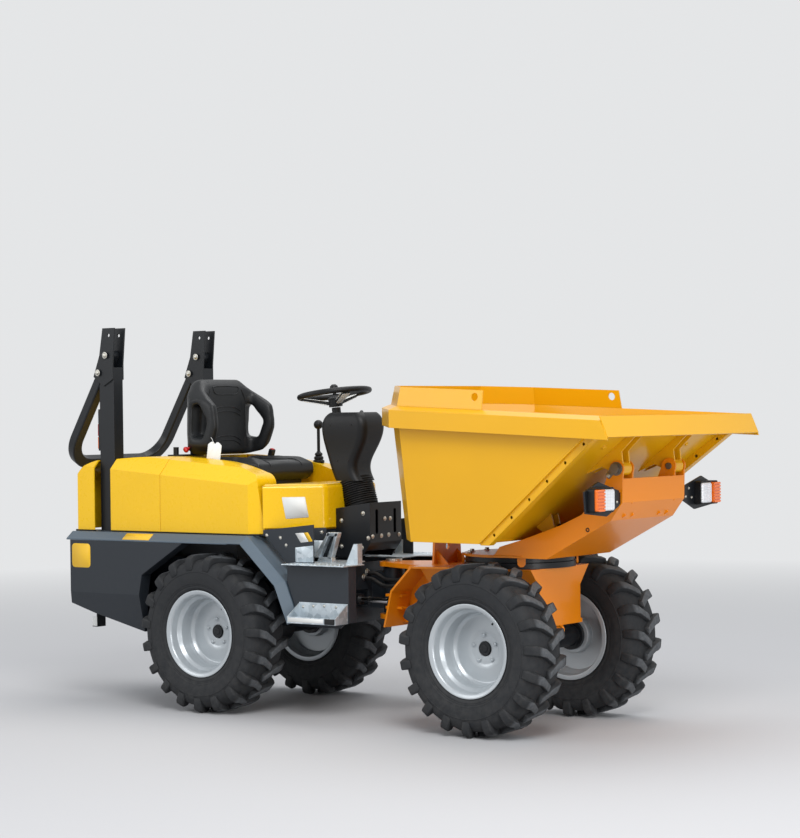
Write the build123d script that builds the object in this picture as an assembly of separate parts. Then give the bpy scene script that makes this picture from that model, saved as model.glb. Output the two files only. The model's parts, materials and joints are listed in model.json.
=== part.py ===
"""Site dumper: articulated, four-wheeled, with a swivelling front-tipping skip.

The model is laid out from the rear axle: X forward, Y to the machine's left, Z up from the
ground. The written parts are then shifted along X, so that the origin is on the ground below
the middle of the machine's length, and up or down so that the tyres stand on the ground.
"""
from build123d import *
import math
import os

# --- Driving dimensions, millimetres and degrees ---------------------------------------------

# Running gear
AXLE_Z = 387.5              # height of the axles in the layout, which a larger tyre lifts as a whole
WHEELBASE = 1594.0
TRACK = 830.0               # between the middles of the tyres
TYRE_RADIUS = 387.5         # over the lugs
TYRE_WIDTH = 258.0
LUG_HEIGHT = 24.0
LUGS_PER_SIDE = 19
RIM_RADIUS = 212.0          # over the flange
RIM_WIDTH = 232.0           # over the flanges
BEAD_SEAT_RADIUS = 194.0
DISC_DEPTH = 144.0          # wheel disc behind the outer flange
HUB_BORE_RADIUS = 31.0
AXLE_RADIUS = 52.0
HUB_RADIUS = 88.0

# Articulation
PIVOT_X = 797.0
PIVOT_PIN_RADIUS = 26.0
PIVOT_UPPER_Z = 722.0       # middle of the front frame's upper fork plate
PIVOT_LOWER_Z = 470.0
FORK_PLATE = 22.0

# Rear chassis
BODY_REAR_X = -925.0
BODY_HALF_WIDTH = 500.0
BODY_WALL = 8.0
LEDGE_Z = 830.0             # outer edge of the ledge round the body
LEDGE_TOP_Z = 865.0
LEDGE_RUN = 45.0            # how far the sloped ledge runs inward
RAIL_HALF_WIDTH = 250.0
RAIL_BOTTOM_Z = 420.0
DECK_FRONT_X = 872.0        # front ends of the side boxes
DECK_Z = 742.0
DECK_PLATE = 5.0
STEP_HOLE_RADIUS = 9.0
BOX_INNER_Y = 345.0         # inner sides of the side boxes
NOSE_X = 715.0              # front of the chassis between the side boxes
TOW_PIN_RADIUS = 14.0

REAR_LAMP_Z = 740.0
LOUVRES = 6                 # cooling slots in the rear face
LOUVRE_WIDTH = 420.0
LOUVRE_HEIGHT = 13.0
LOUVRE_PITCH = 27.0
LOUVRE_TOP_Z = 765.0

# Bonnet and seat pedestal
BONNET_HALF_WIDTH = 420.0
BONNET_WALL = 6.0
SEAM_DEPTH = 2.5
BONNET_BOTTOM_Z = 872.0
BONNET_REAR_X = -950.0
BONNET_FRONT_X = 290.0
SEAT_WELL_HALF_WIDTH = 252.0
SEAT_WELL_REAR_X = -345.0
SEAT_WELL_Z = 1096.0
PEDESTAL_FRONT_X = 540.0
PEDESTAL_FRONT_HALF_WIDTH = 200.0
PEDESTAL_REAR_HALF_WIDTH = 395.0
PEDESTAL_TOP_Z = 1112.0

# Roll-over hoop
POST_X = -745.0
POST_Y = 345.0
POST_DEPTH = 100.0          # along X
POST_WIDTH = 66.0           # along Y
POST_GAP = 8.0              # between a post and the bonnet's notch
POST_TOP_Z = 1700.0
EAR_TOP_Z = 1902.0
EAR_PLATE = 8.0
HOOP_PIVOT_X = -739.0
HOOP_PIVOT_Z = 1763.0
HOOP_FOLD_DEGREES = 31.0    # folded legs, from straight down towards the rear
HOOP_LENGTH = 640.0         # pivot to the middle of the cross bar
HOOP_DEPTH = 50.0
HOOP_WIDTH = 58.0
HOOP_BEND_RADIUS = 150.0
LOCK_RADIUS = 103.0         # pivot to the lock pin holes

# Seat and controls
SEAT_X = -65.0              # middle of the cushion
SEAT_WIDTH = 440.0
CUSHION_TOP_Z = 1240.0
SEAT_BACK_TOP_Z = 1640.0
STEERING_RADIUS = 186.0
STEERING_X = 442.0          # middle of the steering wheel's rim
STEERING_Z = 1549.0
STEERING_TILT = -7.5        # the rim's plane, nose up
COLUMN_BASE_X = (541.0, 750.0)
COLUMN_BASE_Z = (752.0, 1020.0)
COLUMN_BASE_HALF_WIDTH = 125.0

# Front frame and slewing ring
FRAME_HALF_WIDTH = 170.0
FRAME_TOP_HALF_WIDTH = 245.0
FRAME_BOTTOM_Z = 480.0
FRAME_BEND_Z = 645.0
FRAME_TOP_Z = 735.0
FRAME_FRONT_X = 1750.0
FRAME_PLATE = 10.0
RING_X = 1530.0
RING_RADIUS = 258.0
RING_HEIGHT = 52.0
RING_GAP = 2.0
TURNTABLE_RADIUS = 262.0
TURNTABLE_PLATE = 12.0

# Swivelling carrier
CARRIER_HALF_WIDTH = 271.0  # over the side plates
CARRIER_PLATE = 8.0
EAR_GAP = 75.0              # between the two ears of one hinge
HINGE_X = 2222.0
HINGE_Z = 1195.0
HINGE_EAR_RADIUS = 36.0
HINGE_PIN_RADIUS = 15.0

# Skip
SKIP_WALL = 6.0
SKIP_FLOOR_Z = 866.0        # outside of the floor
RIM_REAR_Z = 1491.0         # rim's inner edge above the rear wall
RIM_FALL_DEGREES = 2.78     # the rim falls towards the front
RIM_OVERHANG = 47.0
RIM_DROP = 18.0             # the rim's top slopes outward by this much
SKIRT_DEPTH = 81.0
CHANNEL_DEPTH = 34.0        # folded channels under the slope's edges
CHANNEL_WIDTH = 40.0
CHANNEL_INSET = 26.0
CHANNEL_HOLES = 7
BOARD_HEIGHT = 86.0
BOARD_HOLE_RADIUS = 18.0
SKIP_REAR_X = 1064.0        # inside of the rear wall at the rim
LIP_X = 2400.0              # front edge of the pouring lip

RUNNING_GAP = 0.5           # radial clearance of pins that turn


STANDING = (Align.CENTER, Align.CENTER, Align.MIN)      # a round form that stands on its foot


# --- Helpers ---------------------------------------------------------------------------------

def slab(points, y, thickness):
    """A plate in an XZ plane, its middle at y."""
    sketch = Plane.XZ * Polygon(*points, align=None)
    return Pos(0, y, 0) * extrude(sketch, amount=thickness / 2, both=True)


def wall(points, x, thickness):
    """A plate in a YZ plane, its middle at x."""
    sketch = Plane.YZ * Polygon(*points, align=None)
    return Pos(x, 0, 0) * extrude(sketch, amount=thickness / 2, both=True)


def deck(points, z, thickness):
    """A plate in an XY plane, its top at z."""
    return Pos(0, 0, z - thickness) * extrude(Polygon(*points, align=None), amount=thickness)


def rounded(points, radius):
    """A closed face with all its corners rounded."""
    return make_face(FilletPolyline(*points, radius=radius, close=True).edges())


def block(x, y, z):
    """A box from its (low, high) limits along each axis."""
    size = [high - low for low, high in (x, y, z)]
    return Pos(x[0], y[0], z[0]) * Box(*size, align=(Align.MIN, Align.MIN, Align.MIN))


def rod_y(x, z, radius, y_low, y_high):
    """A round bar along Y."""
    return Pos(x, (y_low + y_high) / 2, z) * Rot(90, 0, 0) * Cylinder(radius, y_high - y_low)


def rod_x(y, z, radius, x_low, x_high):
    """A round bar along X."""
    return Pos((x_low + x_high) / 2, y, z) * Rot(0, 90, 0) * Cylinder(radius, x_high - x_low)


def rod_z(x, y, radius, z_low, z_high):
    """A round bar along Z."""
    return Pos(x, y, (z_low + z_high) / 2) * Cylinder(radius, z_high - z_low)


def offset_path(points, distance):
    """The open XZ path moved to its left by a distance, mitred at its corners."""
    path = [Vector(x, z) for x, z in points]
    moved = []
    for i, point in enumerate(path):
        before = (point - path[i - 1]).normalized() if i else None
        after = (path[i + 1] - point).normalized() if i < len(path) - 1 else None
        before, after = before or after, after or before
        normal = (Vector(-before.Y, before.X) + Vector(-after.Y, after.X)).normalized()
        moved.append(point + normal * (distance / normal.dot(Vector(-after.Y, after.X))))
    return [(p.X, p.Y) for p in moved]


def bent(points, thickness, y_low, y_high):
    """A bent sheet: follows the XZ points on one face, with the other face to their left."""
    outline = list(points) + offset_path(points, thickness)[::-1]
    return slab(outline, (y_low + y_high) / 2, y_high - y_low)


def quad(corners, thickness):
    """A flat plate on four corners, thickened along the corners' right-hand normal."""
    return extrude(Face(Wire.make_polygon([Vector(*c) for c in corners], close=True)), amount=thickness)


def both_sides(shape):
    """The shape and its mirror image across the machine's middle plane."""
    return [shape, mirror(shape, about=Plane.XZ)]


def fused(shapes):
    """One shape from many."""
    shapes = list(shapes)
    return shapes[0].fuse(*shapes[1:]).clean() if len(shapes) > 1 else shapes[0]


# --- Wheels ----------------------------------------------------------------------------------

def tyre():
    """A traction tyre about Y with angled lugs in two staggered rows."""
    half = TYRE_WIDTH / 2
    carcass_radius = TYRE_RADIUS - LUG_HEIGHT
    bead = RIM_WIDTH / 2 - 8
    # radius, distance from the middle plane
    side = [(BEAD_SEAT_RADIUS, bead), (RIM_RADIUS + 4, bead), (RIM_RADIUS + 30, half - 6),
            (RIM_RADIUS + 78, half), (carcass_radius - 38, half - 3),
            (carcass_radius - 12, half - 16), (carcass_radius, half - 62)]
    profile = side + [(r, -y) for r, y in reversed(side)]
    carcass = revolve(Polygon(*profile, align=None), Axis.Y)
    # the lugs' outer envelope
    edge = [(carcass_radius - 60, half + 1), (TYRE_RADIUS - 62, half + 1), (TYRE_RADIUS - 14, half - 8),
            (TYRE_RADIUS, half - 40)]
    envelope = revolve(Polygon(*edge, *[(r, -y) for r, y in reversed(edge)], align=None), Axis.Y)
    # lug's plan: along the rolling direction, across the tread
    plan = [(-17, -10), (15, -12), (58, 52), (76, half + 6), (34, half + 6), (18, 56)]
    lug = extrude(Polygon(*plan, align=None), amount=90)
    lug = Pos(0, 0, -TYRE_RADIUS - 10) * lug
    step = 360 / LUGS_PER_SIDE
    lugs = [Rot(0, i * step, 0) * (lug & envelope) for i in range(LUGS_PER_SIDE)]
    lugs += [Rot(0, step / 2, 0) * mirror(part, about=Plane.XZ) for part in lugs]
    return carcass.fuse(*lugs)


def rim():
    """A deep-dish wheel about Y, its dished side towards -Y, with its hub."""
    outer = -RIM_WIDTH / 2
    disc = outer + DISC_DEPTH
    skin = 5.0
    # radius, axial: round the barrel's outside, then back along its inside
    seat = BEAD_SEAT_RADIUS - 1
    barrel = [(RIM_RADIUS, outer), (RIM_RADIUS, outer + skin), (seat, outer + skin + 3),
              (seat - 3, outer + 44), (seat - 20, outer + 62), (seat - 20, -outer - 62),
              (seat - 3, -outer - 44), (seat, -outer - skin - 3), (RIM_RADIUS, -outer - skin),
              (RIM_RADIUS, -outer), (seat - skin, -outer), (seat - 3 - skin, -outer - 46),
              (seat - 20 - skin, -outer - 64), (seat - 20 - skin, disc + 8),
              (HUB_RADIUS, disc + 8), (HUB_RADIUS, disc + 46), (HUB_BORE_RADIUS, disc + 46),
              (HUB_BORE_RADIUS, disc), (seat - 34 - skin, disc), (seat - 28 - skin, disc - 12),
              (seat - 20 - skin, disc - 16), (seat - 20 - skin, outer + 64),
              (seat - 3 - skin, outer + 46), (seat - skin, outer)]
    return revolve(Polygon(*barrel, align=None), Axis.Y)


def axle(x):
    """A beam axle with a drive housing, its ends inside the wheel hubs."""
    hub_face = TRACK / 2 - RIM_WIDTH / 2 + RIM_WIDTH - DISC_DEPTH - 46
    beam = rod_y(x, AXLE_Z, AXLE_RADIUS, -hub_face + 4, hub_face - 4)
    housing = rod_y(x, AXLE_Z, AXLE_RADIUS + 42, -95, 95)
    spigot = rod_y(x, AXLE_Z, HUB_BORE_RADIUS - RUNNING_GAP, -hub_face - 52, hub_face + 52)
    flange = rod_y(x, AXLE_Z, AXLE_RADIUS + 18, -hub_face + 4, -hub_face + 22)
    flange += rod_y(x, AXLE_Z, AXLE_RADIUS + 18, hub_face - 22, hub_face - 4)
    return fused([beam, housing, spigot, flange])


# --- Rear chassis ----------------------------------------------------------------------------

ARCH_REAR = [(-88, 836), (-402, 659), (-422, 559), (-435, 370)]     # x, z of the arch's edge
ARCH_FRONT = [(160, LEDGE_Z), (244, LEDGE_Z), (459, 636), (536, 456)]
ARCH_BAND_WIDTH = LEDGE_TOP_Z - LEDGE_Z     # the band round the arch is as wide as the ledge is high
BODY_BOTTOM = [(BODY_REAR_X + 6, 503), (-764, 454)]


def rear_outline(inset):
    """The rear body's side view."""
    return [(BODY_REAR_X + inset, LEDGE_Z - 7), (BODY_REAR_X + inset, 565),
            (BODY_BOTTOM[0][0] + inset, BODY_BOTTOM[0][1] + inset),
            (BODY_BOTTOM[1][0], BODY_BOTTOM[1][1] + inset),
            (ARCH_REAR[3][0], ARCH_REAR[3][1] + inset * 3), ARCH_REAR[2], ARCH_REAR[1],
            (-130, LEDGE_Z - 7)]


def rear_body():
    """The dark rear bodywork behind the wheels: a shell open to the front and above."""
    shell = slab(rear_outline(0), 0, 2 * BODY_HALF_WIDTH)
    shell = chamfer(shell.edges().filter_by(Axis.Z).group_by(Axis.X)[0], 26)
    # below the crease the side panels fold inward
    for side in (-1, 1):
        cut = wall([(side * BODY_HALF_WIDTH, 558), (side * (BODY_HALF_WIDTH + 60), 558),
                    (side * (BODY_HALF_WIDTH + 60), 340), (side * (BODY_HALF_WIDTH - 64), 340)], 0, 4000)
        shell -= cut
    inside = slab([(BODY_REAR_X + BODY_WALL + 18, LEDGE_Z + 5), (BODY_REAR_X + BODY_WALL + 18, 560),
                   (-764, 480), (ARCH_REAR[3][0] - 4, 440), (ARCH_REAR[3][0] + 400, 440),
                   (ARCH_REAR[3][0] + 400, LEDGE_Z + 5)], 0, 2 * (BODY_HALF_WIDTH - BODY_WALL - 60))
    # the cooling slots in the rear face
    slot = extrude(Rot(0, 0, 90) * SlotOverall(LOUVRE_WIDTH, LOUVRE_HEIGHT), amount=60, both=True)
    for i in range(LOUVRES):
        inside += Pos(BODY_REAR_X, 0, LOUVRE_TOP_Z - i * LOUVRE_PITCH) * Rot(0, 90, 0) * slot
    return shell - inside


def fender():
    """Ledge over one rear wheel (the right one) and the flared band in front of it."""
    t = 5.0
    y_out, y_in = -BODY_HALF_WIDTH, -BODY_HALF_WIDTH + LEDGE_RUN
    x_rear = BODY_REAR_X
    x_front = ARCH_FRONT[0][0]
    ledge = wall([(y_out, LEDGE_Z), (y_in, LEDGE_TOP_Z), (-RAIL_HALF_WIDTH - 30, LEDGE_TOP_Z),
                  (-RAIL_HALF_WIDTH - 30, LEDGE_TOP_Z - t), (y_in - 2, LEDGE_TOP_Z - t),
                  (y_out, LEDGE_Z - t - 1)], (x_rear + x_front) / 2, x_front - x_rear)
    pieces = [ledge]
    band = offset_path(ARCH_FRONT, ARCH_BAND_WIDTH)
    for i in range(len(band) - 1):
        (x1, z1), (x2, z2) = ARCH_FRONT[i:i + 2]
        (x3, z3), (x4, z4) = band[i:i + 2]
        pieces.append(quad([(x1, y_out, z1), (x2, y_out, z2), (x4, y_in, z4), (x3, y_in, z3)], -t))
    # the arch's inner lining, a bent sheet over the tyre
    lining = bent(band[::-1], t, y_in, -RAIL_HALF_WIDTH)
    return fused(pieces + [lining])


def side_box():
    """The right-hand box under the platform, with the recessed side plate."""
    y_out, y_in = -BODY_HALF_WIDTH + LEDGE_RUN, -BOX_INNER_Y
    profile = [(580, 455), (DECK_FRONT_X, 472), (DECK_FRONT_X, DECK_Z - DECK_PLATE),
               (505, DECK_Z - DECK_PLATE), (503, 655)]
    box = slab(profile, (y_out + y_in) / 2, y_in - y_out)
    inner = slab([(600, 400), (DECK_FRONT_X - 8, 400), (DECK_FRONT_X - 8, DECK_Z - DECK_PLATE - 8),
                  (530, DECK_Z - DECK_PLATE - 8), (530, 655)], (y_out + y_in) / 2 + 8, y_in - y_out)
    # recessed plate above the deck, up to the bonnet
    plate = slab([(320, LEDGE_TOP_Z), (502, 690), (502, DECK_Z), (620, DECK_Z), (620, 925),
                  (300, 892), (270, LEDGE_TOP_Z)], -PEDESTAL_REAR_HALF_WIDTH, 6)
    plate -= block((200, BONNET_FRONT_X + 18), (-BONNET_HALF_WIDTH, 0), (BONNET_BOTTOM_Z - 3, 1200))
    # the front inner corner is cut away for the front frame, which swings past it
    swing = deck([(DECK_FRONT_X - 80, -BOX_INNER_Y + 1), (DECK_FRONT_X + 8, -BOX_INNER_Y - 58),
                  (DECK_FRONT_X + 8, -BOX_INNER_Y + 1)], DECK_Z, 400)
    return [box - inner - swing, plate]


def deck_plate():
    """The right-hand galvanised floor plate with its folded toe bracket."""
    y_out, y_in = -BODY_HALF_WIDTH - 2, -150.0
    plate = deck([(505, y_out), (DECK_FRONT_X + 10, y_out), (DECK_FRONT_X + 10, -BOX_INNER_Y),
                  (NOSE_X + 20, -BOX_INNER_Y + 60), (NOSE_X + 20, y_in), (505, y_in)], DECK_Z, DECK_PLATE)
    toe = [(DECK_FRONT_X - 78, DECK_Z), (DECK_FRONT_X - 8, DECK_Z), (DECK_FRONT_X - 8, DECK_Z + 96),
           (DECK_FRONT_X - 30, DECK_Z + 96)]
    gusset = slab(toe, -BOX_INNER_Y - 26, 4)
    guard = block((DECK_FRONT_X - 12, DECK_FRONT_X - 8), (-BOX_INNER_Y - 28, -BOX_INNER_Y + 8),
                  (DECK_Z - 1, DECK_Z + 96))
    riser = block((510, 560), (-PEDESTAL_REAR_HALF_WIDTH + 3, -PEDESTAL_REAR_HALF_WIDTH + 7),
                  (DECK_Z - 1, DECK_Z + 70))
    return fused([plate, gusset, guard, riser])


def step():
    """The right-hand lower step: a folded tread with side cheeks."""
    x_low, x_high = 578.0, DECK_FRONT_X - 4
    y_in, y_out = -BODY_HALF_WIDTH + LEDGE_RUN - 1, -BODY_HALF_WIDTH - 52
    tread = block((x_low, x_high), (y_out, y_in), (470, 475))
    front = block((x_low, x_high), (y_out, y_out + 4), (470, 500))
    back = block((x_low, x_high), (y_in - 4, y_in), (470, 562))
    cheek = [(y_in, 470), (y_out, 470), (y_out, 500), (y_in, 562)]
    cheeks = [wall(cheek, x, 4) for x in (x_low + 2, x_high - 2)]
    # two rows of drain holes
    pitch = (x_high - x_low) / 8
    for i in range(7):
        for y in (y_out + 28, y_in - 28):
            tread -= rod_z(x_low + (i + 1) * pitch, y, STEP_HOLE_RADIUS, 460, 480)
    return fused([tread, front, back] + cheeks)


def rear_frame():
    """The chassis rails, cross plates and the pivot nose."""
    rail = slab([(-860, 570), (-764, 500), (-425, 455), (-400, RAIL_BOTTOM_Z), (NOSE_X - 60, RAIL_BOTTOM_Z),
                 (NOSE_X, 470), (NOSE_X, 735), (-860, 735)], -RAIL_HALF_WIDTH + 6, 12)
    # clearance for the axle beam
    rail -= rod_y(0, AXLE_Z, AXLE_RADIUS + 3, -400, 0)
    rails = both_sides(rail)
    cross = [block((x, x + 12), (-RAIL_HALF_WIDTH + 12, RAIL_HALF_WIDTH - 12), (z, 730))
             for x, z in ((-700.0, 500.0), (330.0, RAIL_BOTTOM_Z + 4), (NOSE_X - 40, RAIL_BOTTOM_Z + 24))]
    saddle = [block((-60, 60), (y - 30, y + 30), (AXLE_Z + 20, 492)) - rod_y(0, AXLE_Z, AXLE_RADIUS, -300, 300)
              for y in (-180, 180)]
    saddle_beam = block((-60, 60), (-RAIL_HALF_WIDTH + 12, RAIL_HALF_WIDTH - 12), (486, 500))
    seats = both_sides(block((POST_X - POST_DEPTH / 2, POST_X + POST_DEPTH / 2),
                             (-POST_Y - POST_WIDTH / 2, -RAIL_HALF_WIDTH + 12), (700, LEDGE_TOP_Z - 5)))
    nose_z = (PIVOT_LOWER_Z + FORK_PLATE / 2 + 6, PIVOT_UPPER_Z - FORK_PLATE / 2 - 6)
    boss = rod_z(PIVOT_X, 0, PIVOT_PIN_RADIUS + 26, *nose_z)
    arm = block((NOSE_X - 40, PIVOT_X), (-34, 34), (nose_z[0] + 20, nose_z[1] - 20))
    bore = rod_z(PIVOT_X, 0, PIVOT_PIN_RADIUS + RUNNING_GAP, nose_z[0] - 5, nose_z[1] + 5)
    # lugs of the steering ram's foot
    foot_x, foot_y = STEER_FOOT
    lugs = [deck([(340, foot_y - 26), (foot_x + 14, foot_y - 26),
                  (foot_x + 14, foot_y + 26), (340, foot_y + 26)],
                 STEER_Z + side * (STEER_EYE_WIDTH / 2 + 18) + 6, 12) for side in (-1, 1)]
    body = fused(rails + cross + saddle + seats + lugs + [saddle_beam, boss, arm])
    body -= rod_z(foot_x, foot_y, RAM_PIN_RADIUS + RUNNING_GAP, STEER_Z - 50, STEER_Z + 50)
    # the ram passes through the front cross plate
    body -= block((NOSE_X - 50, NOSE_X - 20), (-240, -60), (STEER_Z - 40, STEER_Z + 40))
    return body - bore


def rear_lamps():
    """The two round lamps on the rear face, in their collars."""
    lamps = []
    for y in (-390.0, 390.0):
        collar = rod_x(y, REAR_LAMP_Z, 42, BODY_REAR_X - 12, BODY_REAR_X)
        dome = Rot(0, -90, 0) * Cone(36, 26, 12, align=STANDING)
        lamps.append(fused([collar, Pos(BODY_REAR_X - 12, y, REAR_LAMP_Z) * dome]))
    return lamps


def tow_bracket():
    """The small towing jaw below the rear."""
    jaws = [block((BODY_REAR_X - 30, BODY_REAR_X + 104), (-45, 45), (z, z + 14)) for z in (372.0, 432.0)]
    web = block((BODY_REAR_X + 90, BODY_REAR_X + 104), (-45, 45), (372, 520))
    gusset = [(BODY_REAR_X + 20, 440), (BODY_REAR_X + 100, 440), (BODY_REAR_X + 100, 520)]
    side = [slab(gusset, y, 10) for y in (-40, 40)]
    eye = rod_z(BODY_REAR_X, 0, TOW_PIN_RADIUS, 360, 460)
    # the small bracket that hangs below the rear's right corner
    hanger = block((BODY_REAR_X + 40, BODY_REAR_X + 46), (-330, -270), (364, 520))
    hanger += block((BODY_REAR_X + 10, BODY_REAR_X + 46), (-330, -270), (364, 370))
    shell = slab(rear_outline(0), 0, 2 * BODY_HALF_WIDTH)
    return [part - shell for part in (fused(jaws + [web] + side) - eye, hanger)]


# --- Bonnet, seat and controls ---------------------------------------------------------------

def bonnet_form(inset):
    """The bonnet's outer form, or its inside when inset by the wall."""
    bottom = BONNET_BOTTOM_Z - (20 if inset else 0)
    with BuildPart() as body:
        with BuildSketch(Plane.XZ) as side:
            with BuildLine():
                start = (BONNET_REAR_X + inset, bottom)
                l1 = Line(start, (BONNET_REAR_X + 8 + inset, 1120))
                l2 = ThreePointArc(l1 @ 1, (-878 + inset * 0.7, 1196 - inset * 0.7), (-740, 1228 - inset))
                l3 = ThreePointArc(l2 @ 1, (-440, 1245 - inset), (-90, 1228 - inset))
                l4 = ThreePointArc(l3 @ 1, (90, 1204 - inset), (222, 1166 - inset))
                l5 = ThreePointArc(l4 @ 1, (262 - inset * 0.7, 1142 - inset * 0.7), (272 - inset, 1096))
                l6 = Line(l5 @ 1, (BONNET_FRONT_X + 12 - inset, bottom))
                Line(l6 @ 1, start)
            make_face()
        extrude(amount=BONNET_HALF_WIDTH - inset, both=True)
    # the shoulders: side panels vertical to the crease, then sloping in to the crown
    half = BONNET_HALF_WIDTH - inset
    section = [(-half, 700), (-half, 1128 - inset), (-half + 72, 1203 - inset), (-half + 150, 1225 - inset),
               (0, 1236 - inset), (half - 150, 1225 - inset), (half - 72, 1203 - inset),
               (half, 1128 - inset), (half, 700)]
    crown = Pos(-330, 0, 0) * wall(section, 0, 1500)
    crown = Pos(0, 0, 1160) * Rot(0, 4.6, 0) * Pos(0, 0, -1160) * crown
    # in plan the front corners are cut off and the rear ones less so
    front, rear = BONNET_FRONT_X + 12 - inset, BONNET_REAR_X + inset
    plan = [(rear, -half + 30), (rear + 30, -half), (front - 70, -half), (front, -half + 48)]
    plan += [(x, -y) for x, y in reversed(plan)]
    return body.part & crown & (Pos(0, 0, bottom) * extrude(Polygon(*plan, align=None), amount=500))


def bonnet():
    """The rounded engine cover, notched round the hoop's posts, with the seat's well."""
    outer = bonnet_form(0)
    well = block((SEAT_WELL_REAR_X, 400), (-SEAT_WELL_HALF_WIDTH, SEAT_WELL_HALF_WIDTH),
                 (SEAT_WELL_Z, 1400))
    inner_well = block((SEAT_WELL_REAR_X - BONNET_WALL, 400),
                       (-SEAT_WELL_HALF_WIDTH - BONNET_WALL, SEAT_WELL_HALF_WIDTH + BONNET_WALL),
                       (SEAT_WELL_Z - BONNET_WALL, 1400))
    shell = (outer - well) - (bonnet_form(BONNET_WALL) - inner_well)
    notch = block((POST_X - POST_DEPTH / 2 - POST_GAP, POST_X + POST_DEPTH / 2 + POST_GAP),
                  (-BONNET_HALF_WIDTH - 10, -POST_Y + POST_WIDTH / 2 + POST_GAP), (700, 1400))
    for part in both_sides(notch):
        shell -= part
    # the joint between the rear hood and the seat's panel
    joint = block((SEAT_WELL_REAR_X - 2, SEAT_WELL_REAR_X + 2), (-500, 500), (BONNET_BOTTOM_Z - 5, 1300))
    return shell - (joint & (outer - bonnet_form(SEAM_DEPTH)))


def pedestal_form(inset, z_low, z_high):
    """The pedestal's plan, rounded at its front corners, between two heights."""
    x0, half_rear = BONNET_FRONT_X + 14, PEDESTAL_REAR_HALF_WIDTH - inset
    x1, half_front = PEDESTAL_FRONT_X - inset, PEDESTAL_FRONT_HALF_WIDTH - inset
    plan = [(x0, -half_rear), (x1, -half_front), (x1, half_front), (x0, half_rear)]
    solid = Pos(0, 0, z_low) * extrude(Polygon(*plan, align=None), amount=z_high - z_low)
    return fillet(solid.edges().filter_by(Axis.Z).group_by(Axis.X)[-1], 50 - inset)


def pedestal():
    """The cover in front of the bonnet, narrowing towards the steering column."""
    outer = pedestal_form(0, BONNET_BOTTOM_Z + 28, PEDESTAL_TOP_Z)
    rear = BONNET_FRONT_X + 15
    outer = fillet(outer.faces().sort_by(Axis.Z)[-1].edges().filter_by(lambda e: e.center().X > rear), 22)
    return outer - pedestal_form(BONNET_WALL, BONNET_BOTTOM_Z, PEDESTAL_TOP_Z - BONNET_WALL)


def posts():
    """The hoop's two posts, each with its pair of clevis plates and bolts."""
    fold = math.radians(HOOP_FOLD_DEGREES)

    def tube(inset, bottom):
        """The box section with its rear top corner cut away along the folded leg."""
        rear, front, top = POST_X - POST_DEPTH / 2 + inset, POST_X + POST_DEPTH / 2 - inset, POST_TOP_Z - inset
        leg = HOOP_DEPTH / 2 + 6 + inset        # from the leg's axis to the cut
        cut = HOOP_PIVOT_X + leg / math.cos(fold)
        corner = [(cut - (HOOP_PIVOT_Z - top) * math.tan(fold), top),
                  (rear, HOOP_PIVOT_Z - (cut - rear) / math.tan(fold))]
        return slab([(rear, bottom), (front, bottom), (front, top)] + corner, -POST_Y, POST_WIDTH - 2 * inset)

    right = tube(0, LEDGE_TOP_Z) - tube(8, LEDGE_TOP_Z - 1)
    lock = (HOOP_PIVOT_X - LOCK_RADIUS * math.sin(fold), HOOP_PIVOT_Z - LOCK_RADIUS * math.cos(fold))
    ear = [(-763, EAR_TOP_Z), (-679, EAR_TOP_Z), (POST_X + POST_DEPTH / 2, POST_TOP_Z + 20),
           (POST_X + POST_DEPTH / 2, POST_TOP_Z - 60), (-760, POST_TOP_Z - 95),
           (lock[0] - 38, lock[1] - 20), (HOOP_PIVOT_X - 48, HOOP_PIVOT_Z)]
    pieces = [right]
    for side in (-1, 1):
        y = -POST_Y + side * (POST_WIDTH + EAR_PLATE) / 2
        pieces.append(slab(ear, y, EAR_PLATE))
    right = fused(pieces)
    reach = POST_WIDTH / 2 + EAR_PLATE + 10
    right = right.fuse(rod_y(HOOP_PIVOT_X, HOOP_PIVOT_Z, 12, -POST_Y - reach, -POST_Y + reach))
    # the lock bolt's head and nut, with its shank drawn back out of the leg so that the hoop can swing
    for y in (-POST_Y - reach, -POST_Y + POST_WIDTH / 2):
        right = right.fuse(rod_y(*lock, 12, y, y + reach - POST_WIDTH / 2))
    raised = math.radians(10)
    hole = rod_y(HOOP_PIVOT_X + LOCK_RADIUS * math.sin(raised), HOOP_PIVOT_Z + LOCK_RADIUS * math.cos(raised),
                 9, -POST_Y - reach, -POST_Y + reach)
    return both_sides(right - hole)


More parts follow.
